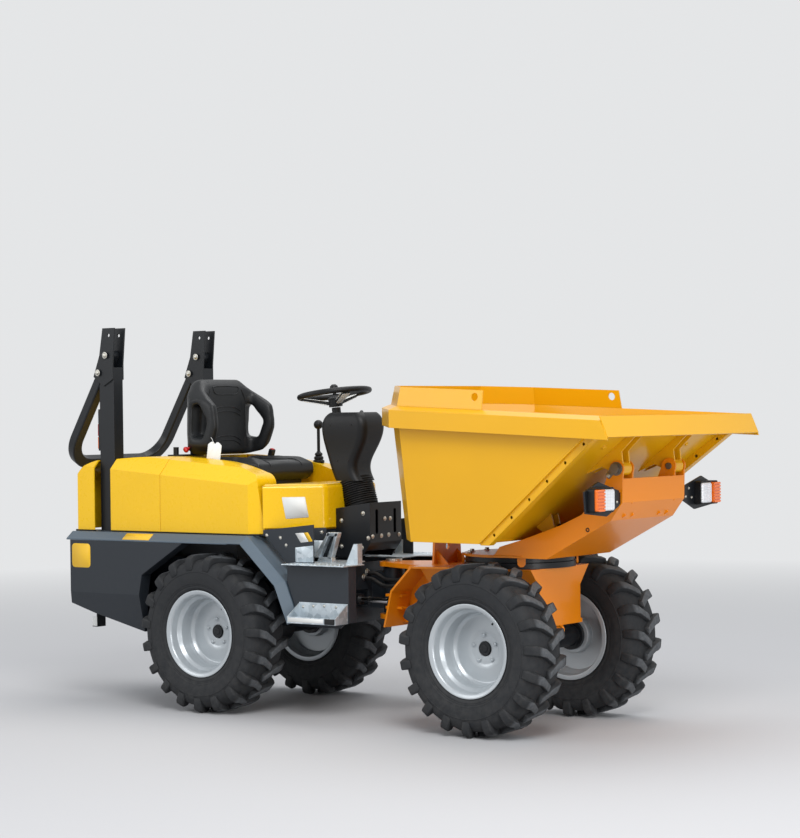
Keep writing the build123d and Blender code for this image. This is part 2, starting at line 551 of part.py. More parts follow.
def hoop():
    """The folding upper hoop, folded down behind the bonnet."""
    bend = HOOP_BEND_RADIUS
    with BuildPart() as frame:
        with BuildLine(Plane.XY) as path:
            FilletPolyline((-POST_Y, 58), (-POST_Y, HOOP_LENGTH), (POST_Y, HOOP_LENGTH), (POST_Y, 58),
                           radius=bend)
        with BuildSketch(Plane(origin=path.line @ 0, z_dir=path.line % 0, x_dir=(1, 0, 0))):
            RectangleRounded(HOOP_WIDTH, HOOP_DEPTH, 8)
        sweep()
    # the flat ends that turn on the pivot bolts
    tongue = []
    for side in (-1, 1):
        plate = block((side * POST_Y - HOOP_WIDTH / 2, side * POST_Y + HOOP_WIDTH / 2), (0, 60),
                      (-HOOP_DEPTH / 2, HOOP_DEPTH / 2))
        end = Pos(side * POST_Y, 0, 0) * Rot(0, 90, 0) * Cylinder(HOOP_DEPTH / 2, HOOP_WIDTH)
        tongue += [plate, end]
    body = fused([frame.part] + tongue)
    for side in (-1, 1):
        for distance in (0.0, LOCK_RADIUS):
            body -= Pos(side * POST_Y, distance, 0) * Rot(0, 90, 0) * Cylinder(12 + RUNNING_GAP, 2 * HOOP_WIDTH)
    # plan (across, along the legs) to the folded pose: legs down and to the rear
    upright = Rot(0, 0, 90) * body                      # across -> Y, along the legs -> -X
    folded = Rot(0, -(90 - HOOP_FOLD_DEGREES), 0) * upright
    return Pos(HOOP_PIVOT_X, 0, HOOP_PIVOT_Z) * folded


def seat_base():
    """The seat's mounting frame on the bonnet's well."""
    plate = block((SEAT_X - 190, SEAT_X + 150), (-170, 170), (SEAT_WELL_Z + 1, SEAT_WELL_Z + 24))
    return plate


def seat_cushion():
    """The seat's cushion: raised bolsters, a dished middle and a rolled front."""
    half, low, top = SEAT_WIDTH / 2, SEAT_WELL_Z + 25, CUSHION_TOP_Z
    across = [(-half, low), (-half, top - 30), (-half + 42, top), (-half + 100, top - 24)]
    across += [(-y, z) for y, z in reversed(across)]
    along = [(SEAT_X - 205, low), (SEAT_X + 165, low), (SEAT_X + 203, low + 36), (SEAT_X + 196, top - 34),
             (SEAT_X + 130, top - 8), (SEAT_X - 205, top + 6)]
    body = Pos(SEAT_X, 0, 0) * extrude(Plane.YZ * rounded(across, 16), amount=250, both=True)
    return body & extrude(Plane.XZ * rounded(along, 18), amount=half + 10, both=True)


def seat_back():
    """The moulded bucket backrest: its side bolsters reach forward, each with a hand opening."""
    half, x, top = 238.0, SEAT_X, SEAT_BACK_TOP_Z
    plan = [(x - 312, -110), (x - 288, -210), (x - 240, -half), (x - 72, -half), (x - 60, -half + 36),
            (x - 185, -half + 66), (x - 205, -half + 100)]
    plan += [(px, -py) for px, py in reversed(plan)]
    shell = Pos(0, 0, 1240) * extrude(rounded(plan, 11), amount=top - 1230)
    front = [(-half + 60, 1245), (-half, 1300), (-half, 1520), (-half + 88, top), (half - 88, top), (half, 1520),
             (half, 1300), (half - 60, 1245)]
    side = [(x - 285, 1245), (x - 190, 1245), (x - 120, 1262), (x - 66, 1395), (x - 82, 1500), (x - 205, 1597),
            (x - 240, top), (x - 290, top - 8), (x - 312, 1520)]
    hand = [(x - 245, 1345), (x - 160, 1330), (x - 125, 1420), (x - 190, 1510), (x - 235, 1500)]
    pad = [(-96, 1420), (-70, 1590), (70, 1590), (96, 1420)]        # the raised pad's groove, across and up
    shell = shell & extrude(Plane.YZ * rounded(front, 26), amount=500, both=True)
    shell = shell & extrude(Plane.XZ * rounded(side, 22), amount=half + 10, both=True)
    between = block((x - 400, x), (-150, 150), (1300, 1600))        # the openings go through the bolsters only
    shell -= extrude(Plane.XZ * rounded(hand, 20), amount=half + 20, both=True) - between
    groove = rounded(pad, 22) - offset(rounded(pad, 22), -7)
    return shell - Pos(x - 213, 0, 0) * extrude(Plane.YZ * groove, amount=60)


def console():
    """The control knobs beside the seat on the right."""
    plinth = block((SEAT_WELL_REAR_X - 110, SEAT_WELL_REAR_X - 8), (-240, -80), (1200, 1252))
    knobs = [rod_z(SEAT_WELL_REAR_X - 80, -210, 14, 1250, 1290),
             rod_z(SEAT_WELL_REAR_X - 40, -130, 12, 1250, 1282)]
    return fused([plinth] + knobs) - bonnet_form(0)


def column_base_form(inset):
    """The column base's outer form, or its inside."""
    (x0, x1), (z0, z1) = COLUMN_BASE_X, COLUMN_BASE_Z
    drop = 12 if inset else 0
    outline = [(x0 + inset, z0 - drop), (x1 - 60, z0 - drop), (x1 - 10 - inset, z0 + 60), (x1 - inset, z0 + 75),
               (x1 - inset, z1 - inset), (x0 + inset, z1 - 30 - inset)]
    return slab(outline, 0, 2 * (COLUMN_BASE_HALF_WIDTH - inset))


def column_base():
    """The bolted box at the foot of the steering column."""
    x1, z0 = COLUMN_BASE_X[1], COLUMN_BASE_Z[0]
    body = column_base_form(0) - column_base_form(6)
    for y in (-72.0, 72.0):
        body -= Pos(x1, y, z0 + 175) * Rot(0, 90, 0) * extrude(SlotOverall(120, 22), amount=30, both=True)
    return body


def column_bellows():
    """The ribbed rubber boot between the base and the cowl."""
    folds = 9
    height = math.dist(BELLOWS_FOOT, BELLOWS_HEAD)
    lean = math.degrees(math.atan2(BELLOWS_HEAD[0] - BELLOWS_FOOT[0], BELLOWS_HEAD[1] - BELLOWS_FOOT[1]))
    profile = [(0, -40), (74, -40), (74, 0)]
    for i in range(folds):
        z = i * height / folds
        profile += [(74, z), (83, z + height / folds / 2)]
    profile += [(74, height), (0, height)]
    boot = revolve(Plane.XZ * Polygon(*profile[:2], *profile[3:], align=None), Axis.Z)
    boot = Pos(BELLOWS_FOOT[0], 0, BELLOWS_FOOT[1]) * Rot(0, lean, 0) * boot
    below = block((0, 1000), (-300, 300), (0, COWL_SECTIONS[0][0]))
    return (boot & below) - column_base_form(0) - pedestal_form(0, 0, PEDESTAL_TOP_Z)


# height, middle along X, half depth along X, half width
COWL_SECTIONS = [(1122, 566, 80, 78), (1250, 540, 100, 84), (1370, 554, 137, 96), (1418, 556, 130, 96),
                 (1456, 560, 100, 80)]
BELLOWS_FOOT = (604.0, 1004.0)
BELLOWS_HEAD = (566.0, 1130.0)


def column_cowl():
    """The moulded cowl of the steering column, with the column's stub."""
    faces = [Pos(x, 0, z) * RectangleRounded(2 * depth, 2 * width, 40) for z, x, depth, width in COWL_SECTIONS]
    shell = loft([f.face() for f in faces])
    stub = Pos(STEERING_X, 0, STEERING_Z) * Rot(0, STEERING_TILT, 0) * Pos(0, 0, -100) * Cylinder(22, 60)
    # the switch pod on the left, with its stalk
    pod = fillet(block((448, 508), (78, 126), (1392, 1440)).edges().filter_by(Axis.Y), 12)
    stalk = Cylinder(5, 92, align=STANDING) + Pos(0, 0, 84) * Cylinder(9, 34, align=STANDING)
    return fused([shell, stub, pod, Pos(478, 120, 1416) * Rot(-68, -20, 0) * stalk])


def steering_wheel():
    """The steering wheel with three spokes, its hub on the column's end."""
    circle = Edge.make_circle(STEERING_RADIUS - 14)
    ring = sweep(Plane(origin=circle @ 0, z_dir=circle % 0) * Circle(14), path=circle)
    hub = Pos(0, 0, -46) * Cylinder(34, 36)
    spokes = []
    for angle in (90, 210, 330):
        arm = slab([(20, -58), (20, -40), (STEERING_RADIUS - 16, -3), (STEERING_RADIUS - 8, -12)], 0, 26)
        spokes.append(Rot(0, 0, angle) * arm)
    # the spinner knob stands on the rim, rear left
    profile = [(0, -6), (9, -6), (9, 22), (19, 30), (22, 42), (19, 54), (10, 62), (0, 62)]
    spinner = Pos(STEERING_RADIUS - 14, 0, 0) * revolve(Plane.XZ * Polygon(*profile, align=None), Axis.Z)
    wheel = fused([ring, hub, Rot(0, 0, 128) * spinner] + spokes)
    return Pos(STEERING_X, 0, STEERING_Z) * Rot(0, STEERING_TILT, 0) * wheel


def drive_lever():
    """The travel lever with its rubber boot, on the left of the seat."""
    folds, tall = 5, 92.0
    profile = [(0, 0)]
    for i in range(folds):
        wide, fold = 40 - 5 * i, tall / folds
        profile += [(wide, i * fold), (wide - 1, (i + 0.5) * fold), (wide - 9, (i + 0.8) * fold)]
    boot = Pos(95, 300, 1165) * revolve(Plane.XZ * Polygon(*profile, (11, tall), (0, tall), align=None), Axis.Z)
    stick = rod_z(95, 300, 8, 1240, 1380)
    knob = Pos(95, 300, 1395) * Sphere(24)
    return fused([boot, stick, knob]) - bonnet_form(0)


# --- Front frame -----------------------------------------------------------------------------

def front_frame():
    """The front frame: box beam, flared top, bent rear plate and the pivot fork."""
    t = FRAME_PLATE
    def section(inset):
        half, top = FRAME_HALF_WIDTH - inset, FRAME_TOP_HALF_WIDTH - inset
        return [(-half, FRAME_BOTTOM_Z + inset), (half, FRAME_BOTTOM_Z + inset), (half, FRAME_BEND_Z),
                (top, FRAME_TOP_Z - inset), (-top, FRAME_TOP_Z - inset), (-half, FRAME_BEND_Z)]
    x0 = 1130.0
    beam = wall(section(0), (x0 + FRAME_FRONT_X) / 2, FRAME_FRONT_X - x0)
    beam -= wall(section(t), (x0 + FRAME_FRONT_X) / 2, FRAME_FRONT_X - x0 - 2 * t)
    beam -= rod_y(WHEELBASE, AXLE_Z, AXLE_RADIUS + 45, -300, 300)
    foot = block((FRAME_FRONT_X - 14, FRAME_FRONT_X), (-FRAME_HALF_WIDTH - 14, FRAME_HALF_WIDTH + 14),
                 (FRAME_BOTTOM_Z - 12, FRAME_BOTTOM_Z + 8))
    back = bent([(944, 446), (987, 617), (1105, FRAME_TOP_Z)], -t, -285, 285)
    top = deck([(1095, -285), (1300, -FRAME_TOP_HALF_WIDTH), (1300, FRAME_TOP_HALF_WIDTH), (1095, 285)],
               FRAME_TOP_Z, t)
    pieces = [beam, foot, back, top]
    # fork plates reaching back to the pivot
    for z in (PIVOT_UPPER_Z, PIVOT_LOWER_Z):
        plate = deck([(PIVOT_X, -70), (1010, -160), (1140, -160), (1140, 160), (1010, 160), (PIVOT_X, 70)],
                     z + FORK_PLATE / 2, FORK_PLATE)
        plate += rod_z(PIVOT_X, 0, 70, z - FORK_PLATE / 2, z + FORK_PLATE / 2)
        pieces.append(plate)
    for y in (-120.0, 120.0):
        pieces.append(slab([(985, PIVOT_LOWER_Z), (1140, PIVOT_LOWER_Z), (1140, FRAME_TOP_Z - 4),
                            (1095, FRAME_TOP_Z - 4), (985, 610)], y, 12))
    saddle = [block((WHEELBASE - 60, WHEELBASE + 60), (y - 25, y + 25), (AXLE_Z + 20, FRAME_BOTTOM_Z + 6))
              for y in (-145.0, 145.0)]
    # lugs of the steering ram's eye
    for side in (-1, 1):
        lug = deck([(STEER_HEAD[0] - 20, STEER_HEAD[1] - 24), (1000, STEER_HEAD[1] - 24),
                    (1000, STEER_HEAD[1] + 24), (STEER_HEAD[0] - 20, STEER_HEAD[1] + 24)],
                   STEER_Z + side * (STEER_EYE_WIDTH / 2 + 12) + 6, 12)
        pieces.append(lug)
    # the tie-down eye below the foot
    eye_z = FRAME_BOTTOM_Z - 34
    pieces.append(Pos(FRAME_FRONT_X - 7, 0, eye_z) * Rot(90, 0, 0) * Torus(20, 6))
    body = fused(pieces + saddle) - rod_y(WHEELBASE, AXLE_Z, AXLE_RADIUS, -300, 300)
    body -= rod_y(WHEELBASE, AXLE_Z, AXLE_RADIUS + 45, -105, 105)
    return body - rod_z(PIVOT_X, 0, PIVOT_PIN_RADIUS, 400, 800)


def pivot_pin():
    """The articulation pin with its head."""
    low, high = PIVOT_LOWER_Z - FORK_PLATE / 2 - 12, PIVOT_UPPER_Z + FORK_PLATE / 2
    pin = rod_z(PIVOT_X, 0, PIVOT_PIN_RADIUS, low, high + 2)
    head = rod_z(PIVOT_X, 0, PIVOT_PIN_RADIUS + 14, high, high + 12)
    return fused([pin, head])


def skip_rest():
    """The upright plate on the front frame that the lowered skip's carrier locks to."""
    plate = wall([(-112, FRAME_TOP_Z), (112, FRAME_TOP_Z), (104, 842), (-104, 842)], 1112, 12)
    plate -= rod_x(0, 815, 16, 1080, 1150)
    gussets = [slab([(1118, FRAME_TOP_Z), (1180, FRAME_TOP_Z), (1118, 800)], y, 8) for y in (-80.0, 80.0)]
    return fused([plate] + gussets)


def ring_lower():
    """The slewing ring's fixed half, bolted to the front frame."""
    low = FRAME_TOP_Z
    ring = rod_z(RING_X, 0, RING_RADIUS, low, low + RING_HEIGHT / 2)
    return ring - rod_z(RING_X, 0, RING_RADIUS - 90, low - 1, low + RING_HEIGHT)


# --- Swivelling carrier ----------------------------------------------------------------------

TURN_Z = FRAME_TOP_Z + RING_HEIGHT / 2 + RING_GAP       # underside of all that slews
TABLE_Z = TURN_Z + RING_HEIGHT / 2 - RING_GAP           # underside of the turntable plate
TABLE_TOP_Z = TABLE_Z + TURNTABLE_PLATE


def ring_upper():
    """The ring's turning half, which carries the turntable."""
    ring = rod_z(RING_X, 0, RING_RADIUS - 4, TURN_Z, TABLE_Z)
    return ring - rod_z(RING_X, 0, RING_RADIUS - 90, TURN_Z - 5, TABLE_Z + 5)


def turntable():
    """The round plate on the ring, with the four tabs that hang over the ring's edge."""
    half, hang = 19.0, 35.0     # the tabs' half width, and how far their round ends' middles hang down
    pieces = [rod_z(RING_X, 0, TURNTABLE_RADIUS, TABLE_Z, TABLE_TOP_Z)]
    reach = (TURNTABLE_RADIUS - 2, TURNTABLE_RADIUS + 7)
    for angle in (-55, 35, 125, 215):
        tab = block(reach, (-half, half), (TABLE_TOP_Z - hang, TABLE_TOP_Z))
        tab += rod_x(0, TABLE_TOP_Z - hang, half, *reach)
        pieces.append(Pos(RING_X, 0, 0) * Rot(0, 0, angle) * tab)
    return fused(pieces)


def carrier():
    """The orange carrier on the turntable: side plates, belly, front box and hinge ears."""
    t = CARRIER_PLATE
    pieces = []
    side = [(1560, TABLE_Z + 2), (1850, TABLE_Z + 2), (2189, 967), (2249, 1047), (2253, 1166),
            (HINGE_X + HINGE_EAR_RADIUS - 4, HINGE_Z), (HINGE_X - HINGE_EAR_RADIUS, HINGE_Z),
            (2150, 1105), (2039, 991), (1925, 941), (1726, 874), (1600, 838)]
    ear = [(2120, 1040), (2249, 1040), (2253, 1166), (HINGE_X + HINGE_EAR_RADIUS - 4, HINGE_Z),
           (HINGE_X - HINGE_EAR_RADIUS, HINGE_Z)]
    for sign in (-1, 1):
        outer_y = sign * (CARRIER_HALF_WIDTH - t / 2)
        inner_y = outer_y - sign * (EAR_GAP + t)
        for outline, y in ((side, outer_y), (ear, inner_y)):
            plate = slab(outline, y, t)
            plate += rod_y(HINGE_X, HINGE_Z, HINGE_EAR_RADIUS, y - t / 2, y + t / 2)
            pieces.append(plate)
    inside = CARRIER_HALF_WIDTH - t
    belly = bent([(1700, TABLE_Z + 2), (1850, TABLE_Z + 2), (2189, 967), (2249, 1047), (2253, 1152)], t,
                 -inside, inside)
    rear = block((1640, 1648), (-inside, inside), (TABLE_TOP_Z - 2, 838))
    # brackets of the tipping rams, on the belly
    for y in RAM_YS:
        for offset in (-1, 1):
            pieces.append(slab([(2110, 930), (2215, 985), (2200, 1030), (2150, 1030), (2110, 990)],
                               y + offset * (RAM_EYE_WIDTH / 2 + 16), 8))
    body = fused(pieces + [belly, rear]) - rod_z(RING_X, 0, TURNTABLE_RADIUS + 8, TABLE_Z - 5, TABLE_TOP_Z)
    for y in RAM_YS:
        reach = RAM_EYE_WIDTH / 2 + 30
        body -= rod_y(*RAM_FOOT, RAM_PIN_RADIUS + RUNNING_GAP, y - reach, y + reach)
    for sign in (-1, 1):
        y = sign * (CARRIER_HALF_WIDTH - t - EAR_GAP / 2)
        body -= rod_y(HINGE_X, HINGE_Z, HINGE_PIN_RADIUS, y - 70, y + 70)
    return body


def hinge_pins():
    """The two pins that the skip tips on, with a nut outside."""
    pins = []
    t = CARRIER_PLATE
    for sign in (-1, 1):
        y0 = sign * (CARRIER_HALF_WIDTH + 2)
        y1 = sign * (CARRIER_HALF_WIDTH - 2 * t - EAR_GAP - 4)
        pin = rod_y(HINGE_X, HINGE_Z, HINGE_PIN_RADIUS, min(y0, y1), max(y0, y1))
        # washer and nut outside
        face = sign * CARRIER_HALF_WIDTH
        washer = rod_y(HINGE_X, HINGE_Z, HINGE_PIN_RADIUS + 15, *sorted((face, face + 5 * sign)))
        nut = extrude(RegularPolygon(HINGE_PIN_RADIUS + 9, 6), amount=10, both=True)
        pins.append(fused([pin, washer, Pos(HINGE_X, face + 14 * sign, HINGE_Z) * Rot(90, 0, 0) * nut]))
    return pins


LAMP_Y = (-542.0, -378.0)       # the right-hand lamp's housing across
LAMP_Z = (1012.0, 1120.0)
LAMP_SPLIT_Y = -476.0           # between the indicator and the work lamp


def lamp_bracket():
    """The right-hand black lamp plate, six-sided, on an arm from the carrier's side."""
    plate = wall([(-563, 1104), (-449, 1143), (-282, 1100), (-282, 1034), (-385, 992), (-555, 1010)], 2236, 8)
    arm = block((2160, 2240), (-300, -CARRIER_HALF_WIDTH), (1040, 1092))
    return plate + arm


def lamp_housing():
    """The right-hand lamp's black housing, recessed for the indicator and the work lamp."""
    body = fillet(block((2240, 2274), LAMP_Y, LAMP_Z).edges().filter_by(Axis.X), 14)
    return body - indicator(2) - work_lamp(2)


def indicator(gap=0):
    """The ribbed orange indicator, outboard; with a gap, the space it sits in."""
    y0, y1 = LAMP_Y[0] + 6, LAMP_SPLIT_Y - 3
    z0, z1 = LAMP_Z[0] + 7, LAMP_Z[1] - 7
    body = block((2254 - gap, 2292), (y0 - gap, y1 + gap), (z0 - gap, z1 + gap))
    body = fillet(body.edges().filter_by(Axis.X), 8)
    if gap:
        return body
    for i in range(6):
        body -= block((2287, 2295), (y0, y1), (z0 + 10 + i * 14, z0 + 15 + i * 14))
    return body


def work_lamp(gap=0):
    """The white work lamp's lens; with a gap, the space it sits in."""
    y0, y1 = LAMP_SPLIT_Y + 4, LAMP_Y[1] - 7
    z0, z1 = LAMP_Z[0] + 8, LAMP_Z[1] - 8
    body = block((2254 - gap, 2282), (y0 - gap, y1 + gap), (z0 - gap, z1 + gap))
    body = fillet(body.edges().filter_by(Axis.X), 10)
    return body if gap else chamfer(body.faces().sort_by(Axis.X)[-1].edges(), 4)


# --- Skip ------------------------------------------------------------------------------------

def rim_z(x, drop=0.0):
    """Height of the rim's inner edge at x."""
    return RIM_REAR_Z - math.tan(math.radians(RIM_FALL_DEGREES)) * (x - SKIP_REAR_X) - drop


# inner edge of the rim (x, half width), from the rear wall to the lip's corner
RIM_PLAN = [(SKIP_REAR_X, 352.0), (1252.0, 559.0), (LIP_X - 25, 623.0)]
# inner edge of the floor (x, half width)
FLOOR_PLAN = [(1147.0, 354.0), (1277.0, 500.0), (1655.0, 522.0)]


def moved_out(plan, amount, forward=0.0):
    """A plan's points moved outward: the rear back, the corner both ways, the front sideways."""
    (x1, y1), (x2, y2), (x3, y3) = plan
    corner = amount * 0.4
    return [(x1 - amount, y1 + corner), (x2 - corner, y2 + amount), (x3 + forward, y3 + amount)]


def plan_face(plan, drop):
    """A closed face over a half plan and its mirror image, following the rim's fall."""
    points = [(x, -y) for x, y in plan] + [(x, y) for x, y in reversed(plan)]
    return Face(Wire.make_polygon([Vector(x, y, rim_z(x, drop)) for x, y in points], close=True))


def floor_face(plan, z):
    """A closed level face over a half plan and its mirror image."""
    points = [(x, -y) for x, y in plan] + [(x, y) for x, y in reversed(plan)]
    return Face(Wire.make_polygon([Vector(x, y, z) for x, y in points], close=True))


SLOPE = math.atan2(rim_z(RIM_PLAN[2][0]) - SKIP_FLOOR_Z, RIM_PLAN[2][0] - FLOOR_PLAN[2][0])
SLOPE_WALL = SKIP_WALL / math.sin(SLOPE)    # the sloping wall's thickness measured along X


def tub_form():
    """The tub's outside as a solid."""
    return loft([floor_face(moved_out(FLOOR_PLAN, SKIP_WALL, SLOPE_WALL), SKIP_FLOOR_Z),
                 plan_face(moved_out(RIM_PLAN, SKIP_WALL, SLOPE_WALL), 0)], ruled=True)


def skip_tub():
    """The welded tub: floor, walls and the sloping front."""
    rise = SKIP_WALL / math.tan(SLOPE)
    lift = 30.0     # the inside is drawn past the rim, so that the tub is open
    floor = [(x + (rise if i == 2 else 0), y) for i, (x, y) in enumerate(FLOOR_PLAN)]
    mouth = []
    for (x1, y1), (x2, y2) in zip(FLOOR_PLAN, RIM_PLAN):
        share = lift / (rim_z(x2) - SKIP_FLOOR_Z)
        mouth.append((x2 + (x2 - x1) * share, y2 + (y2 - y1) * share))
    inner = loft([floor_face(floor, SKIP_FLOOR_Z + SKIP_WALL), plan_face(mouth, -lift)], ruled=True)
    return tub_form() - inner


def skip_rim():
    """The folded rim round the sides and rear, and the pouring lip."""
    t = 6.0
    rim_x = RIM_PLAN[2][0]
    lip_run = LIP_X + 23 - rim_x        # the rim's front ends slope down with the lip
    def edge(amount, drop):
        forward = SLOPE_WALL + (lip_run - SLOPE_WALL) * max(drop - RIM_DROP, 0) / SKIRT_DEPTH
        return plan_face(moved_out(RIM_PLAN, amount, forward), drop)
    inner, outer, inside = SKIP_WALL, RIM_OVERHANG, RIM_OVERHANG - t
    top = loft([edge(outer, RIM_DROP), edge(inner, 0)], ruled=True)
    skirt = loft([edge(outer, RIM_DROP + SKIRT_DEPTH), edge(outer, RIM_DROP)], ruled=True)
    under_top = loft([edge(inside, RIM_DROP + t), edge(inner, t)], ruled=True)
    under = loft([edge(inside, RIM_DROP + SKIRT_DEPTH + 1), edge(inside, RIM_DROP + t)], ruled=True)
    body = top.fuse(skirt) - under.fuse(under_top)
    # the lip's folded plate closes the rim's front ends
    half = RIM_PLAN[2][1] + RIM_OVERHANG - 4
    lip = bent([(rim_x + lip_run, rim_z(rim_x, RIM_DROP + SKIRT_DEPTH - 10)),
                (rim_x + SLOPE_WALL, rim_z(rim_x))], t, -half, half)
    return body.fuse(lip) - tub_form()


def skip_boards():
    """The raised boards on the rear and the rear half of the sides."""
    lean = 18.0
    def ring(amount, drop_low, drop_high):
        low = moved_out(RIM_PLAN, amount)
        high = moved_out(RIM_PLAN, amount - lean)
        return loft([plan_face(low, drop_low), plan_face(high, drop_high)], ruled=True)
    body = ring(SKIP_WALL, 0, -BOARD_HEIGHT) - ring(0, 0, -BOARD_HEIGHT)
    front = slab([(1741, 1300), (1719, 1700), (2600, 1700), (2600, 1300)], 0, 1500)
    hole = rod_y(1686, 1516, BOARD_HOLE_RADIUS, -800, 800)
    return body - front - hole


def skip_ribs():
    """The hinge plates below the slope with their knuckles, and the ram's lugs."""
    x0, z0 = FLOOR_PLAN[2][0] + SLOPE_WALL, SKIP_FLOOR_Z
    x1 = RIM_PLAN[2][0] + SLOPE_WALL
    length = math.dist((x0, z0), (x1, rim_z(x1)))
    along = Vector(x1 - x0, rim_z(x1) - z0) / length
    below = Vector(along.Y, -along.X)

    def at(distance, depth):
        point = Vector(x0, z0) + along * distance + below * depth
        return (point.X, point.Y)

    hinge = (Vector(HINGE_X, HINGE_Z) - Vector(x0, z0)).dot(along)
    drop = (Vector(HINGE_X, HINGE_Z) - Vector(x0, z0)).dot(below)
    head = (Vector(*RAM_HEAD) - Vector(x0, z0)).dot(along)
    head_drop = (Vector(*RAM_HEAD) - Vector(x0, z0)).dot(below)
    outline = [at(hinge - 150, 0), at(hinge - 60, 28), at(hinge - 30, drop), at(hinge + 30, drop),
               at(hinge + 60, 34), at(length - 60, 20), at(length - 50, 0)]
    lug = [at(head - 50, 0), at(head - 18, head_drop + 16), at(head + 18, head_drop + 16), at(head + 50, 0)]
    t = 8.0
    middle = CARRIER_HALF_WIDTH - CARRIER_PLATE - EAR_GAP / 2
    knuckle = EAR_GAP / 2 - 5
    pieces = []
    for y in (-middle, middle):
        hinge_parts = [slab(outline, y + offset, t) for offset in (-knuckle + t / 2, knuckle - t / 2)]
        hinge_parts.append(rod_y(HINGE_X, HINGE_Z, HINGE_EAR_RADIUS - 4, y - knuckle, y + knuckle))
        bore = rod_y(HINGE_X, HINGE_Z, HINGE_PIN_RADIUS + RUNNING_GAP, y - 80, y + 80)
        pieces.append(fused(hinge_parts) - bore)
    for y in RAM_YS:
        pieces += [slab(lug, y + side * (RAM_EYE_WIDTH / 2 + 9), t) for side in (-1, 1)]
    return pieces + both_sides(slope_channel())


def slope_channel():
    """The folded channel along the right-hand edge of the slope, with its row of holes."""
    (x0, y0), (x1, y1) = FLOOR_PLAN[2], RIM_PLAN[2]
    low = Vector(x0 + SLOPE_WALL, -y0 + CHANNEL_INSET, SKIP_FLOOR_Z)
    high = Vector(x1 + SLOPE_WALL, -y1 + CHANNEL_INSET, rim_z(x1))
    run = high - low
    down = Vector(math.sin(SLOPE), 0, -math.cos(SLOPE))
    plane = Plane(origin=low + down * CHANNEL_DEPTH / 2, z_dir=run, x_dir=down)
    inside = Pos(-4, 0) * Rectangle(CHANNEL_DEPTH - 1, CHANNEL_WIDTH - 8)
    bar = extrude(plane * (Rectangle(CHANNEL_DEPTH, CHANNEL_WIDTH) - inside), amount=run.length - 60)
    for i in range(CHANNEL_HOLES):
        place = plane.origin + run * ((i + 0.7) / CHANNEL_HOLES)
        bar -= Plane(origin=place, z_dir=plane.y_dir, x_dir=run) * Cylinder(7, 3 * CHANNEL_WIDTH)
    # its ends are cut level with the floor and clear of the lip
    return bar & block((x0, x1 + 100), (-900, 0), (SKIP_FLOOR_Z - 6, 1600)) - tub_form()


# --- Rams ------------------------------------------------------------------------------------

RAM_PIN_RADIUS = 12.0
RAM_YS = (-150.0, 150.0)        # the two tipping rams
RAM_EYE_WIDTH = 36.0
RAM_FOOT = (2150.0, 1000.0)     # x, z of the barrels' lower pins on the carrier
RAM_HEAD = (1820.0, 905.0)      # x, z of the rods' eyes below the skip
STEER_FOOT = (420.0, -130.0)    # x, y of the steering ram's pin on the chassis
STEER_HEAD = (925.0, -190.0)    # x, y of its rod's eye
STEER_EYE_WIDTH = 34.0
STEER_Z = 560.0


def ram(length, barrel, rod_length, radius, rod_radius, eye_radius, eye_width, pin_radius):
    """A ram along +X from its foot eye: (barrel, rod)."""
    tube = rod_x(0, 0, radius, eye_radius - 4, barrel)
    foot = Rot(90, 0, 0) * Cylinder(eye_radius, eye_width)
    bore = rod_x(0, 0, radius - 6, eye_radius + 14, barrel - 16)
    mouth = rod_x(0, 0, rod_radius + RUNNING_GAP, barrel - 30, barrel + 5)
    hole = Rot(90, 0, 0) * Cylinder(pin_radius, eye_width + 10)
    body = fused([tube, foot]) - bore - mouth
    pin = Rot(90, 0, 0) * Cylinder(pin_radius, eye_width + 50)
    body = body.fuse(pin)
    shaft = rod_x(0, 0, rod_radius, length - rod_length + 10, length - eye_radius + 4)
    piston = rod_x(0, 0, radius - 6 - RUNNING_GAP, length - rod_length, length - rod_length + 14)
    head = Pos(length, 0, 0) * Rot(90, 0, 0) * Cylinder(eye_radius, eye_width)
    return body, fused([shaft, piston, head])


def tip_rams():
    """Both tipping rams: their barrels and their rods."""
    dx, dz = RAM_HEAD[0] - RAM_FOOT[0], RAM_HEAD[1] - RAM_FOOT[1]
    length = math.hypot(dx, dz)
    barrel, rod = ram(length, 312.0, 306.0, 28.0, 15.0, 22.0, RAM_EYE_WIDTH, RAM_PIN_RADIUS)
    turn = -math.degrees(math.atan2(dz, dx))
    place = [Pos(RAM_FOOT[0], y, RAM_FOOT[1]) * Rot(0, turn, 0) for y in RAM_YS]
    return [p * barrel for p in place], [p * rod for p in place]


def steer_ram():
    """The steering ram on the right: its barrel and its rod."""
    dx, dy = STEER_HEAD[0] - STEER_FOOT[0], STEER_HEAD[1] - STEER_FOOT[1]
    barrel, rod = ram(math.hypot(dx, dy), 305.0, 342.0, 26.0, 14.0, 22.0, STEER_EYE_WIDTH, RAM_PIN_RADIUS)
    place = Pos(STEER_FOOT[0], STEER_FOOT[1], STEER_Z) * Rot(0, 0, math.degrees(math.atan2(dy, dx)))
    return place * (Rot(90, 0, 0) * barrel), place * (Rot(90, 0, 0) * rod)


# --- Assembly --------------------------------------------------------------------------------

def engine():
    """The engine and pump as one plain block inside the bonnet."""
    body = block((-640, -30), (-200, 200), (560, 1040))
    return chamfer(body.edges().filter_by(Axis.X), 30)


